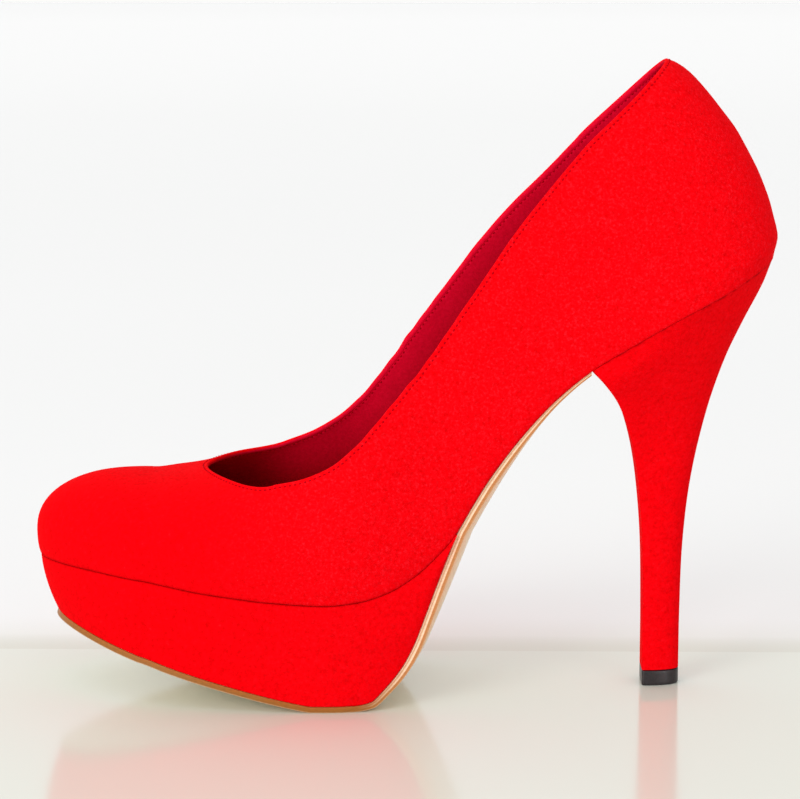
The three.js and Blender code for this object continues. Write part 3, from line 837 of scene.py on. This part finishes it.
def make_insole():
    inset = UPPER_WALL + FIT_GAP - SEAM_CLOSING
    stations = np.linspace(TOE_X, SEAT_X, INSOLE_STATIONS)
    columns = outline(inset, stations, TOE_ROUND - inset, HEEL_ROUND - inset)
    shell = Shell()
    tops = {}
    feet = {}
    # The insole's tone is 1 all over: the lining's darkest painted shade.
    for side, width in SIDES:
        plan = np.array([(column[0], side * column[width], 0) for column in columns])
        normal = blunt_ends(plan_normals(plan, side), True, True)
        rows = []
        for in_by, up in insole_edge():
            moved = plan - normal * in_by
            rows.append([last_point(x, 1, y, up) for x, y, _ in moved])
        wall = np.array(rows).transpose(1, 0, 2)
        shell.grid(wall, 0, 1)
        tops[side] = wall[:, -1]
        feet[side] = wall[:, 0]
    shell.grid(across(tops[-1], tops[1], SOCK_ROWS), 0, 1)
    shell.grid(across(feet[-1], feet[1], FLAT_ROWS), 0, 1)
    return shell


def crown_at(x):
    along = along_at(x)
    rise = smooth((along - CROWN_START) / (CROWN_FULL - CROWN_START))
    fall = smooth((along - CROWN_FALL) / (CROWN_LOW - CROWN_FALL))
    return WAIST_CROWN * rise * mix(1, CROWN_LEFT, fall)


def layers_at(x):
    """0 at the toe, and 1 where the layers of the edge show in full."""
    return smooth((along_at(x) - LAYERS_START) / (LAYERS_FULL - LAYERS_START))


def sole_thickness(x):
    """Of the edge: thicker where its layers show in the waist, and thinned to the breast."""
    full = mix(OUTSOLE_THICKNESS, LAYERED_THICKNESS, layers_at(x))
    share = (along_at(x) - THINNING_START) / (BREAST_PLACE - THINNING_START)
    return mix(full, OUTSOLE_THICKNESS * BREAST_THICKNESS, smooth(share))


# The outsole's edge in the waist, from its top: depth is a share of its thickness, out is in mm
SOLE_EDGE = table("depth out", [
    (0, -0.2), (0.05, -0.02), (0.1, 0.03), (0.17, 0), (0.24, -0.13), (0.31, -0.15), (0.38, -0.12),
    (0.45, 0.04), (0.54, 0.1), (0.64, 0.11), (0.74, 0.1), (0.84, 0.06), (0.92, -0.02), (0.97, -0.12),
    (1, -0.25),
])
LAYERS_START = 0.45
LAYERS_FULL = 0.52
SOLE_ROWS = 25
TOE_STATIONS = 30
TREAD_STATIONS = 6
WAIST_STATIONS = 90


def sole_columns():
    stations = [
        *np.linspace(TOE_X, TREAD_START_X, TOE_STATIONS, endpoint=False),
        *np.linspace(TREAD_START_X, -TREAD_START_X, TREAD_STATIONS, endpoint=False),
        *np.linspace(-TREAD_START_X, BREAST_X - FIT_GAP + SEAM_CLOSING, WAIST_STATIONS),
    ]
    return outline(SOLE_INSET, stations, TOE_ROUND - TOE_UNDERCUT - SOLE_INSET, 0)


def sole_top_edge(columns, side, width):
    edge = []
    for column in columns:
        x = column[0]
        edge.append((x, swing_at(x) + side * foot_width(column, width), sole_height(x)))
    return np.array(edge)


def trimmed(points, slopes, end_x):
    """What passes the end of the sole is drawn back to it, along the sole's slope."""
    past = np.maximum(points[:, 0] - end_x, 0)
    return points + np.stack([-past, 0 * past, -past * slopes], axis=1)


def make_outsole():
    columns = sole_columns()
    places = [column[0] for column in columns]
    slopes = np.array([sole_slope(x) for x in places])
    down = unit(np.stack([slopes, 0 * slopes, 0 * slopes - 1], axis=1))
    thickness = np.array([sole_thickness(x) for x in places])
    crown = np.array([crown_at(x) for x in places])
    layered = np.array([layers_at(x) for x in places])
    depths = np.array([row["depth"] for row in SOLE_EDGE])
    shell = Shell()
    rims = {}
    for side, width in SIDES:
        edge = sole_top_edge(columns, side, width)
        normal = blunt_ends(plan_normals(edge, side), True, False)
        rows = []
        for row in SOLE_EDGE:
            plain = -SOLE_EDGE_SOFTNESS if row["depth"] in (0, 1) else 0
            out = mix(plain, row["out"], layered)
            moved = edge + down * (thickness * row["depth"])[:, None] + normal * out[:, None]
            rows.append(trimmed(moved, slopes, places[-1]))
        rims[side] = np.stack(rows, axis=1)
        shell.grid(rims[side], 0, depths)
    shell.grid(across(rims[-1][:, 0], rims[1][:, 0], SOLE_ROWS), 1)
    level = across(rims[-1][:, -1], rims[1][:, -1], SOLE_ROWS)
    bottom = level.copy()
    sideways = np.abs(np.linspace(-1, 1, SOLE_ROWS))
    for j, share in enumerate(sideways):
        moved = level[:, j] + down * (crown * (1 - share ** CROWN_FULLNESS))[:, None]
        bottom[:, j] = trimmed(moved, slopes, places[-1])
    # Tones across the bottom set its painted light: palest in the middle.
    shell.grid(bottom, 1, sideways)
    shell.grid(across(rims[-1][-1], rims[1][-1], SOLE_ROWS), 1, depths[:, None])
    shell.grid(np.stack([level[-1], bottom[-1]], axis=0), 1, 1)
    return shell


# Heel sections run from a flat front to a rounded back
HEEL_TURNS = 40


def heel_turns():
    steps = []
    for i in range(HEEL_TURNS + 1):
        turn = i / HEEL_TURNS * math.pi / 2
        spread = 0 if i == HEEL_TURNS else math.cos(turn) ** (2 / STEM_ROUNDNESS)
        steps.append((math.sin(turn) ** (2 / STEM_ROUNDNESS), spread))
    return steps


def heel_half(row, side):
    front_x = mix(STEM_FRONT_X, BREAST_X, row["front"])
    back_x = mix(STEM_BACK_X, x_at(1), row["back"])
    half = mix(STEM_WIDTH, SEAT_WIDTH, row["wide"]) / 2
    return [
        (mix(front_x, back_x, reach), side * half * spread,
         SEAT_HEIGHT * mix(row["front_up"], row["back_up"], reach))
        for reach, spread in heel_turns()
    ]


def seat_half_width(x, side):
    if x <= SEAT_X:
        return half_width(x, side)
    share = min((x - SEAT_X) / HEEL_ROUND, 1)
    return half_width(SEAT_X, side) * (1 - share ** SEAT_ROUNDNESS) ** (1 / SEAT_ROUNDNESS)


def seat_half(side):
    points = []
    for reach, _ in heel_turns():
        x = mix(BREAST_X, x_at(1), reach)
        points.append((x, side * seat_half_width(x, side), offset_height(feather_height, x, -FIT_GAP)))
    return points


def foot_half(z, side):
    level = z / SEAT_HEIGHT
    return heel_half({"front": 0, "front_up": level, "back": 0, "back_up": level, "wide": 0}, side)


SIDE_POINTS = 41
FRONT_POINTS = 28
BODY_RINGS = 120
TIP_RINGS = 6
END_RINGS = 4


def even_steps(points, count):
    """Points at even steps along a line, without its last one."""
    points = np.array(points)
    lengths = lengths_along(points)
    return resample(points, lengths, np.linspace(0, lengths[-1], count, endpoint=False))


def soft_ring(outer, inner, softness):
    """A closed ring of two sides and a front, its corners rounded off."""
    sides = [even_steps(outer, SIDE_POINTS), even_steps(inner[::-1], SIDE_POINTS)]
    points = np.concatenate([*sides, even_steps([inner[0], outer[0]], FRONT_POINTS)])
    step = np.linalg.norm(points - np.roll(points, 1, axis=0), axis=1).mean()
    rounds = int(round((softness / step) ** 2 * 2))
    return softened(points, max(rounds, 1))


def smooth_rings(rings, count):
    """Rings in between, on smooth curves through the given ones."""
    stack = np.array(rings)
    middles = stack.mean(axis=1)
    places = lengths_along(middles)
    slopes = np.zeros_like(stack)
    for i in range(len(stack)):
        a, b = max(i - 1, 0), min(i + 1, len(stack) - 1)
        slopes[i] = (stack[b] - stack[a]) / (places[b] - places[a])
    made = []
    for at in np.linspace(0, places[-1], count):
        i = min(int(np.searchsorted(places, at, side="right")) - 1, len(stack) - 2)
        width = places[i + 1] - places[i]
        rise, start, end = curve_weights((at - places[i]) / width)
        bend = width * (start * slopes[i] + end * slopes[i + 1])
        made.append(mix(stack[i], stack[i + 1], rise) + bend)
    return np.array(made)


def lid(ring):
    """A closing face made of strips that shrink to the ring's middle."""
    middle = ring.mean(axis=0)
    return np.stack([mix(ring, middle, share) for share in (0, 0.3, 0.6, 1)], axis=0)


def ringed(rings, tones=0, top_tone=0):
    """A shell with a wall through the rings and a lid at each end."""
    shell = Shell()
    for rows, tone in ((rings, tones), (lid(rings[0]), top_tone), (lid(rings[-1]), 0)):
        shell.grid(np.concatenate([rows, rows[:, :1]], axis=1), 0, tone)
    return shell


def rounded_end(ring, down, radius):
    """Rings that turn in over the end of a stem."""
    middle = ring.mean(axis=0)
    inward = middle - ring
    reach = np.linalg.norm(inward, axis=1, keepdims=True)
    rings = []
    for turn in np.linspace(0, math.pi / 2, END_RINGS + 1)[1:]:
        rings.append(ring + inward / reach * radius * (1 - math.cos(turn)) + down * radius * math.sin(turn))
    return rings


def make_heel():
    rings = [soft_ring(seat_half(-1), seat_half(1), HEEL_EDGE_SOFTNESS)]
    for row in HEEL:
        rings.append(soft_ring(heel_half(row, -1), heel_half(row, 1), HEEL_EDGE_SOFTNESS))
    foot = TIP_THICKNESS + FIT_GAP
    rings.append(soft_ring(foot_half(foot, -1), foot_half(foot, 1), HEEL_EDGE_SOFTNESS))
    body = smooth_rings(rings, BODY_RINGS)
    # Painted shade where the heel block meets the upper, fading over its top rings, and in full on its top
    # lid.
    tones = np.interp(np.arange(BODY_RINGS), [0, 1, 2], [HEEL_SEAM_SHADE, 0.1, 0])
    return ringed(body, tones[:, None], 1)


def make_tip():
    top = soft_ring(foot_half(TIP_THICKNESS, -1), foot_half(TIP_THICKNESS, 1), HEEL_EDGE_SOFTNESS)
    up = np.array([0, 0, 1.0])
    foot = top.copy()
    foot[:, 2] = TIP_EDGE_RADIUS
    shoulder = top.copy()
    shoulder[:, 2] = TIP_THICKNESS - TIP_TOP_RADIUS
    upper_rings = rounded_end(shoulder, up, TIP_TOP_RADIUS)
    lower_rings = rounded_end(foot, -up, TIP_EDGE_RADIUS)
    middle = [mix(shoulder, foot, share) for share in np.linspace(0, 1, TIP_RINGS)]
    return ringed(np.array([*upper_rings[::-1], *middle, *lower_rings]))


# Stitches: short lengths of thread, sunk into the wall at both ends
STITCH_LIFT = table("share lift radius", [
    (0, -0.3, 0), (0.12, -0.05, 0.9), (0.3, 0.1, 1), (0.5, 0.14, 1.04),
    (0.7, 0.1, 1), (0.88, -0.05, 0.9), (1, -0.3, 0),
])
THREAD_SIDES = 7
AHEAD = 0.05


def stitch_rings(line, lengths, normals, start, stop):
    rings = []
    for row in STITCH_LIFT:
        at = mix(start, stop, row["share"])
        point = resample(line, lengths, [at])[0]
        ahead = resample(line, lengths, [at + AHEAD])[0]
        normal = resample(normals, lengths, [at])[0]
        tangent = unit(ahead - point)
        sideways = unit(np.cross(tangent, normal))
        upward = np.cross(sideways, tangent)
        centre = point + upward * row["lift"]
        radius = STITCH_RADIUS * row["radius"]
        turns = np.linspace(0, 2 * math.pi, THREAD_SIDES + 1)
        rings.append([centre + radius * (sideways * math.cos(t) + upward * math.sin(t)) for t in turns])
    return np.array(rings)


def make_stitches(seams):
    shell = Shell()
    for line, normals in seams:
        lengths = lengths_along(line)
        count = int(lengths[-1] / STITCH_PITCH)
        pitch = lengths[-1] / count
        for k in range(count):
            start = k * pitch + STITCH_GAP / 2
            stop = (k + 1) * pitch - STITCH_GAP / 2 - AHEAD
            shell.grid(stitch_rings(line, lengths, normals, start, stop), 0)
    return shell


# Materials
class Nodes:
    """Short helpers to lay out a procedural material."""

    def __init__(self, name):
        self.material = bpy.data.materials.new(name)
        self.material.use_nodes = True
        self.tree = self.material.node_tree
        self.shader = self.tree.nodes["Principled BSDF"]
        self.place = self.add("ShaderNodeTexCoord").outputs["Object"]

    def add(self, kind, **settings):
        node = self.tree.nodes.new(kind)
        for key, value in settings.items():
            setattr(node, key, value)
        return node

    def link(self, source, target):
        self.tree.links.new(source, target)

    def noise(self, per_mm, detail=3, roughness=0.55, stretch=(1, 1, 1)):
        """Noise with that many cells to a millimetre."""
        mapping = self.add("ShaderNodeMapping")
        mapping.inputs["Scale"].default_value = stretch
        self.link(self.place, mapping.inputs["Vector"])
        node = self.add("ShaderNodeTexNoise")
        node.inputs["Scale"].default_value = per_mm / MM
        node.inputs["Detail"].default_value = detail
        node.inputs["Roughness"].default_value = roughness
        self.link(mapping.outputs["Vector"], node.inputs["Vector"])
        return node.outputs["Fac"]

    def tone(self):
        """The tone stored with the mesh."""
        return self.add("ShaderNodeAttribute", attribute_name="tone").outputs["Fac"]

    def along(self, axis, start_mm, stop_mm):
        """A soft rise from 0 to 1 between two places along an axis of the shoe."""
        split = self.add("ShaderNodeSeparateXYZ")
        self.link(self.place, split.inputs["Vector"])
        rise = self.add("ShaderNodeMapRange", interpolation_type="SMOOTHSTEP")
        rise.inputs["From Min"].default_value = start_mm * MM
        rise.inputs["From Max"].default_value = stop_mm * MM
        self.link(split.outputs[axis], rise.inputs["Value"])
        return rise.outputs["Result"]

    def ramp(self, source, stops):
        node = self.add("ShaderNodeValToRGB")
        elements = node.color_ramp.elements
        while len(elements) < len(stops):
            elements.new(0.5)
        for element, (place, colour) in zip(elements, stops):
            element.position = place
            element.color = (*colour, 1)
        self.link(source, node.inputs["Fac"])
        return node.outputs["Color"]

    def blend(self, share, first, second, kind="MIX"):
        node = self.add("ShaderNodeMix", data_type="RGBA", blend_type=kind)
        if isinstance(share, float):
            node.inputs["Factor"].default_value = share
        else:
            self.link(share, node.inputs["Factor"])
        self.link(first, node.inputs[6])
        self.link(second, node.inputs[7])
        return node.outputs[2]

    def bump(self, source, depth_mm, strength=1.0, under=None):
        node = self.add("ShaderNodeBump")
        node.inputs["Distance"].default_value = depth_mm * MM
        node.inputs["Strength"].default_value = strength
        self.link(source, node.inputs["Height"])
        if under is not None:
            self.link(under, node.inputs["Normal"])
        return node.outputs["Normal"]

    def set(self, **values):
        for key, value in values.items():
            self.shader.inputs[key.replace("_", " ")].default_value = value

    def finish(self, colour, normal=None):
        self.link(colour, self.shader.inputs["Base Color"])
        if normal is not None:
            self.link(normal, self.shader.inputs["Normal"])
        return self.material


# How the light on the nap grows with the height of its noise
NAP_LIGHT = table("height share", [(0.4, 0), (0.5, 0.07), (0.57, 0.2), (0.7, 0.85)])


def suede(name, nap_light):
    """Red suede; nap_light is how strongly light is painted on the nap, up to 1."""
    n = Nodes(name)
    mottle = n.noise(0.75, detail=3, roughness=0.62)
    nap = n.noise(2.0, detail=3, roughness=0.6)
    cloud = n.noise(0.07, detail=3)
    brushed = n.noise(0.3, detail=3, stretch=(0.5, 1, 1.6))
    colour = n.ramp(mottle, [
        (0.3, (0.78, 0.0004, 0.0018)), (0.42, (0.89, 0.0004, 0.0028)), (0.52, (0.95, 0.0005, 0.0034)),
        (0.66, (0.97, 0.0008, 0.0045)), (0.78, (0.98, 0.005, 0.009)),
    ])
    flecks = n.ramp(nap, [(0.32, (0.9, 0.82, 0.86)), (0.48, (1, 1, 1))])
    shade = n.ramp(cloud, [(0.3, (0.96, 0.96, 0.96)), (0.7, (1, 1, 1))])
    stroke = n.ramp(brushed, [(0.35, (0.96, 0.96, 0.96)), (0.65, (1, 1, 1))])
    # Painted shade at the seams, from the mesh's tone: darkest where it is 1.
    seam = n.ramp(n.tone(), [(0, (1, 1, 1)), (0.5, (0.86, 0.8, 0.8)), (1, (0.5, 0.4, 0.4))])
    for layer in (flecks, shade, stroke, seam):
        colour = n.blend(1.0, colour, layer, "MULTIPLY")
    # Painted light on the tips of the nap, in a paler red; it fades out towards the toe, from x = 5 mm to x
    # = -45 mm.
    fibres = n.noise(1.3, detail=4, roughness=0.65)
    painted_nap_light = n.ramp(fibres, [(row["height"], (nap_light * row["share"],) * 3) for row in NAP_LIGHT])
    painted_nap_light = n.blend(1.0, painted_nap_light, n.along("X", -45, 5), "MULTIPLY")
    pale = n.ramp(mottle, [(0.3, (0.94, 0.010, 0.021)), (0.7, (0.99, 0.014, 0.027))])
    colour = n.blend(painted_nap_light, colour, pale)
    normal = n.bump(mottle, 0.2, 0.6)
    normal = n.bump(nap, 0.06, 0.5, under=normal)
    n.set(Roughness=0.95, Specular_IOR_Level=0.02, Sheen_Weight=0.05, Sheen_Roughness=0.5)
    n.set(Sheen_Tint=(1.0, 0.03, 0.03, 1))
    return n.finish(colour, normal)


def lining():
    """Crimson at the collar, and darker deeper in the shoe, which is painted shade."""
    n = Nodes("red_lining")
    grain = n.noise(1.1, detail=4, roughness=0.6)
    cloud = n.noise(0.06, detail=2)
    near = n.ramp(grain, [
        (0.3, (0.72, 0.0005, 0.020)), (0.55, (0.84, 0.0008, 0.028)), (0.75, (0.90, 0.003, 0.036)),
    ])
    # The lining with painted shade, for deep in the shoe.
    deep = n.ramp(grain, [
        (0.3, (0.30, 0.0003, 0.004)), (0.55, (0.38, 0.0004, 0.005)), (0.75, (0.42, 0.001, 0.007)),
    ])
    colour = n.blend(n.tone(), near, deep)
    shade = n.ramp(cloud, [(0.3, (0.92, 0.92, 0.92)), (0.7, (1, 1, 1))])
    colour = n.blend(1.0, colour, shade, "MULTIPLY")
    n.set(Roughness=0.7, Specular_IOR_Level=0.05)
    return n.finish(colour, n.bump(grain, 0.08, 0.4))


def thread():
    n = Nodes("dark_red_thread")
    ply = n.noise(3.0, detail=2)
    colour = n.ramp(ply, [(0.35, (0.36, 0.0004, 0.004)), (0.65, (0.52, 0.0006, 0.007))])
    n.set(Roughness=0.8, Specular_IOR_Level=0.02)
    return n.finish(colour, n.bump(ply, 0.06, 0.6))


def sole_edge():
    """Tan at the toe, darker down the edge and paler along its bottom line; in the waist, tan layers over a
    brown one, with cream stripes painted on as highlights.
    """
    n = Nodes("sole_edge_leather")
    fibre = n.noise(0.8, detail=4, stretch=(1, 1, 3))
    depth = n.tone()
    # In the waist: tan and brown layers, with cream stripes that are painted highlights on the ridges of
    # the edge.
    layers = n.ramp(depth, [
        (0.03, (0.82, 0.40, 0.27)), (0.12, (0.96, 0.64, 0.44)), (0.22, (0.72, 0.42, 0.23)),
        (0.34, (0.74, 0.43, 0.25)), (0.42, (0.96, 0.69, 0.46)), (0.53, (0.94, 0.64, 0.41)),
        (0.59, (0.58, 0.215, 0.065)), (0.82, (0.60, 0.235, 0.075)), (0.92, (0.80, 0.40, 0.19)),
    ])
    plain = n.ramp(depth, [
        (0.05, (0.42, 0.125, 0.022)), (0.3, (0.37, 0.12, 0.012)), (0.8, (0.31, 0.112, 0.014)),
        (0.97, (0.56, 0.34, 0.18)),
    ])
    colour = n.blend(n.along("X", 6, 24), plain, layers)
    worn = n.ramp(fibre, [(0.3, (0.85, 0.82, 0.78)), (0.55, (1, 1, 1)), (0.75, (1.04, 1.06, 1.1))])
    colour = n.blend(1.0, colour, worn, "MULTIPLY")
    n.set(Roughness=0.45, Specular_IOR_Level=0.3, Coat_Weight=0.1, Coat_Roughness=0.3)
    return n.finish(colour, n.bump(fibre, 0.06, 0.3))


def sole_leather():
    """Peach along its sides, with painted light making it paler towards the middle."""
    n = Nodes("sole_leather")
    grain = n.noise(0.5, detail=5, roughness=0.6)
    pores = n.noise(2.4, detail=2)
    peach_and_painted_light = n.ramp(n.tone(), [
        (0.68, (0.96, 0.83, 0.64)), (0.85, (0.96, 0.74, 0.53)), (1, (0.97, 0.62, 0.37)),
    ])
    fibres = n.ramp(grain, [(0.3, (0.92, 0.89, 0.85)), (0.55, (1, 1, 1)), (0.78, (1.02, 1.04, 1.06))])
    colour = n.blend(1.0, peach_and_painted_light, fibres, "MULTIPLY")
    n.set(Roughness=0.5, Specular_IOR_Level=0.4)
    return n.finish(colour, n.bump(pores, 0.05, 0.4))


def tip_plastic():
    n = Nodes("tip_plastic")
    grain = n.noise(1.4, detail=3)
    colour = n.ramp(grain, [(0.35, (0.010, 0.006, 0.008)), (0.7, (0.022, 0.014, 0.017))])
    n.set(Roughness=0.38, Specular_IOR_Level=0.5)
    return n.finish(colour, n.bump(grain, 0.03, 0.3))


def table_top():
    """A glossy pale table, and past its back edge a backdrop with a painted shadow along that edge, turning
    whiter away from it.
    """
    n = Nodes("pale_table")
    cloud = n.noise(0.004, detail=2)
    near = n.ramp(cloud, [(0.3, (0.73, 0.765, 0.68)), (0.7, (0.75, 0.785, 0.70))])
    # Painted shadow on the backdrop just behind the table's back edge, fading to white.
    far = n.ramp(n.along("Y", TABLE_LINE, BACKDROP_LINE), [
        (0, (0.68, 0.69, 0.60)), (0.35, (0.83, 0.84, 0.80)), (1, (0.89, 0.895, 0.89)),
    ])
    colour = n.blend(n.along("Y", TABLE_LINE - 1, TABLE_LINE), near, far)
    n.set(Roughness=0.13, Specular_IOR_Level=0.6)
    return n.finish(colour)


# The table's back edge behind the shoe, and where the painted shadow on the backdrop has faded to its
# whitest
TABLE_LINE = 34
BACKDROP_LINE = 80

# The finished pieces
upper_suede = suede("upper_suede", 1)
cover_suede = suede("cover_suede", 0.35)
red_lining = lining()


def place(piece, node, slot):
    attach(piece, "root")
    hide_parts(node)


upper_shell, collar_seams = make_upper()
upper = upper_shell.make("upper_suede_shell", [upper_suede, red_lining], sharp=60)
place(upper, "upper", "upper_suede")

stitches = make_stitches(collar_seams).make("collar_stitches", [thread()], weld=1e-4)
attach(stitches, "root")

insole = make_insole().make("insole_sock", [red_lining])
place(insole, "insole", "lining")

platform = make_platform().make("platform_cover", [cover_suede])
place(platform, "platform", "cover_suede")

outsole = make_outsole().make("leather_outsole", [sole_edge(), sole_leather()])
place(outsole, "outsole", "sole_leather")

heel = make_heel().make("heel_cover", [cover_suede], sharp=50)
place(heel, "heel", "cover_suede")

tip = make_tip().make("heel_top_piece", [tip_plastic()], sharp=50)
place(tip, "heel_tip", "tip_plastic")


# The stage
def make_floor():
    size = 8.0
    mesh = bpy.data.meshes.new("floor")
    corners = [(-size, -size, 0), (size, -size, 0), (size, size, 0), (-size, size, 0)]
    mesh.from_pydata(corners, [], [(0, 1, 2, 3)])
    mesh.materials.append(table_top())
    floor = bpy.data.objects.new("floor", mesh)
    bpy.context.scene.collection.objects.link(floor)


make_floor()


def soft_light(name, place, aim, size, power):
    data = bpy.data.lights.new(name, "AREA")
    data.shape = "DISK"
    data.size = size
    data.energy = power
    lamp = bpy.data.objects.new(name, data)
    lamp.location = place
    lamp.rotation_mode = "QUATERNION"
    lamp.rotation_quaternion = (Vector(aim) - Vector(place)).to_track_quat("-Z", "Y")
    bpy.context.scene.collection.objects.link(lamp)


AIM = (0.019, 0, 0.0851)
soft_light("key", place=(-1.6, -2.0, 1.0), aim=AIM, size=1.4, power=29)
soft_light("fill", place=(0.8, -0.9, 0.14), aim=(0.03, 0, 0.06), size=0.4, power=1.8)


def studio_world():
    """Even white light, less of it from behind the heel."""
    world = bpy.data.worlds.new("studio")
    world.use_nodes = True
    tree = world.node_tree
    place = tree.nodes.new("ShaderNodeTexCoord")
    split = tree.nodes.new("ShaderNodeSeparateXYZ")
    ramp = tree.nodes.new("ShaderNodeValToRGB")
    start, stop = ramp.color_ramp.elements
    start.position = 0.4
    start.color = (1, 1, 1, 1)
    stop.position = 1
    stop.color = (0.35, 0.35, 0.35, 1)
    background = tree.nodes["Background"]
    background.inputs["Strength"].default_value = 0.98
    tree.links.new(place.outputs["Generated"], split.inputs["Vector"])
    tree.links.new(split.outputs["X"], ramp.inputs["Fac"])
    tree.links.new(ramp.outputs["Color"], background.inputs["Color"])
    return world


bpy.context.scene.world = studio_world()
bpy.context.scene.view_settings.view_transform = "Standard"

# The camera, at the photograph's angle
CAMERA_DISTANCE = 0.8
CAMERA_HEIGHT = 0.2205
CAMERA_TURN = math.radians(1)
FOCAL_PIXELS = 2720
PICTURE_WIDTH = 800
SENSOR_WIDTH = 36
level = math.sqrt(CAMERA_DISTANCE ** 2 - (CAMERA_HEIGHT - AIM[2]) ** 2)
eye = Vector((AIM[0] + level * math.sin(CAMERA_TURN), -level * math.cos(CAMERA_TURN), CAMERA_HEIGHT))
camera_data = bpy.data.cameras.new("camera")
camera_data.sensor_width = SENSOR_WIDTH
camera_data.lens = FOCAL_PIXELS / PICTURE_WIDTH * SENSOR_WIDTH
camera_data.clip_start = 0.05
camera_data.clip_end = 50
camera = bpy.data.objects.new("camera", camera_data)
camera.location = eye
camera.rotation_mode = "QUATERNION"
camera.rotation_quaternion = (Vector(AIM) - eye).to_track_quat("-Z", "Y")
bpy.context.scene.collection.objects.link(camera)
bpy.context.scene.camera = camera
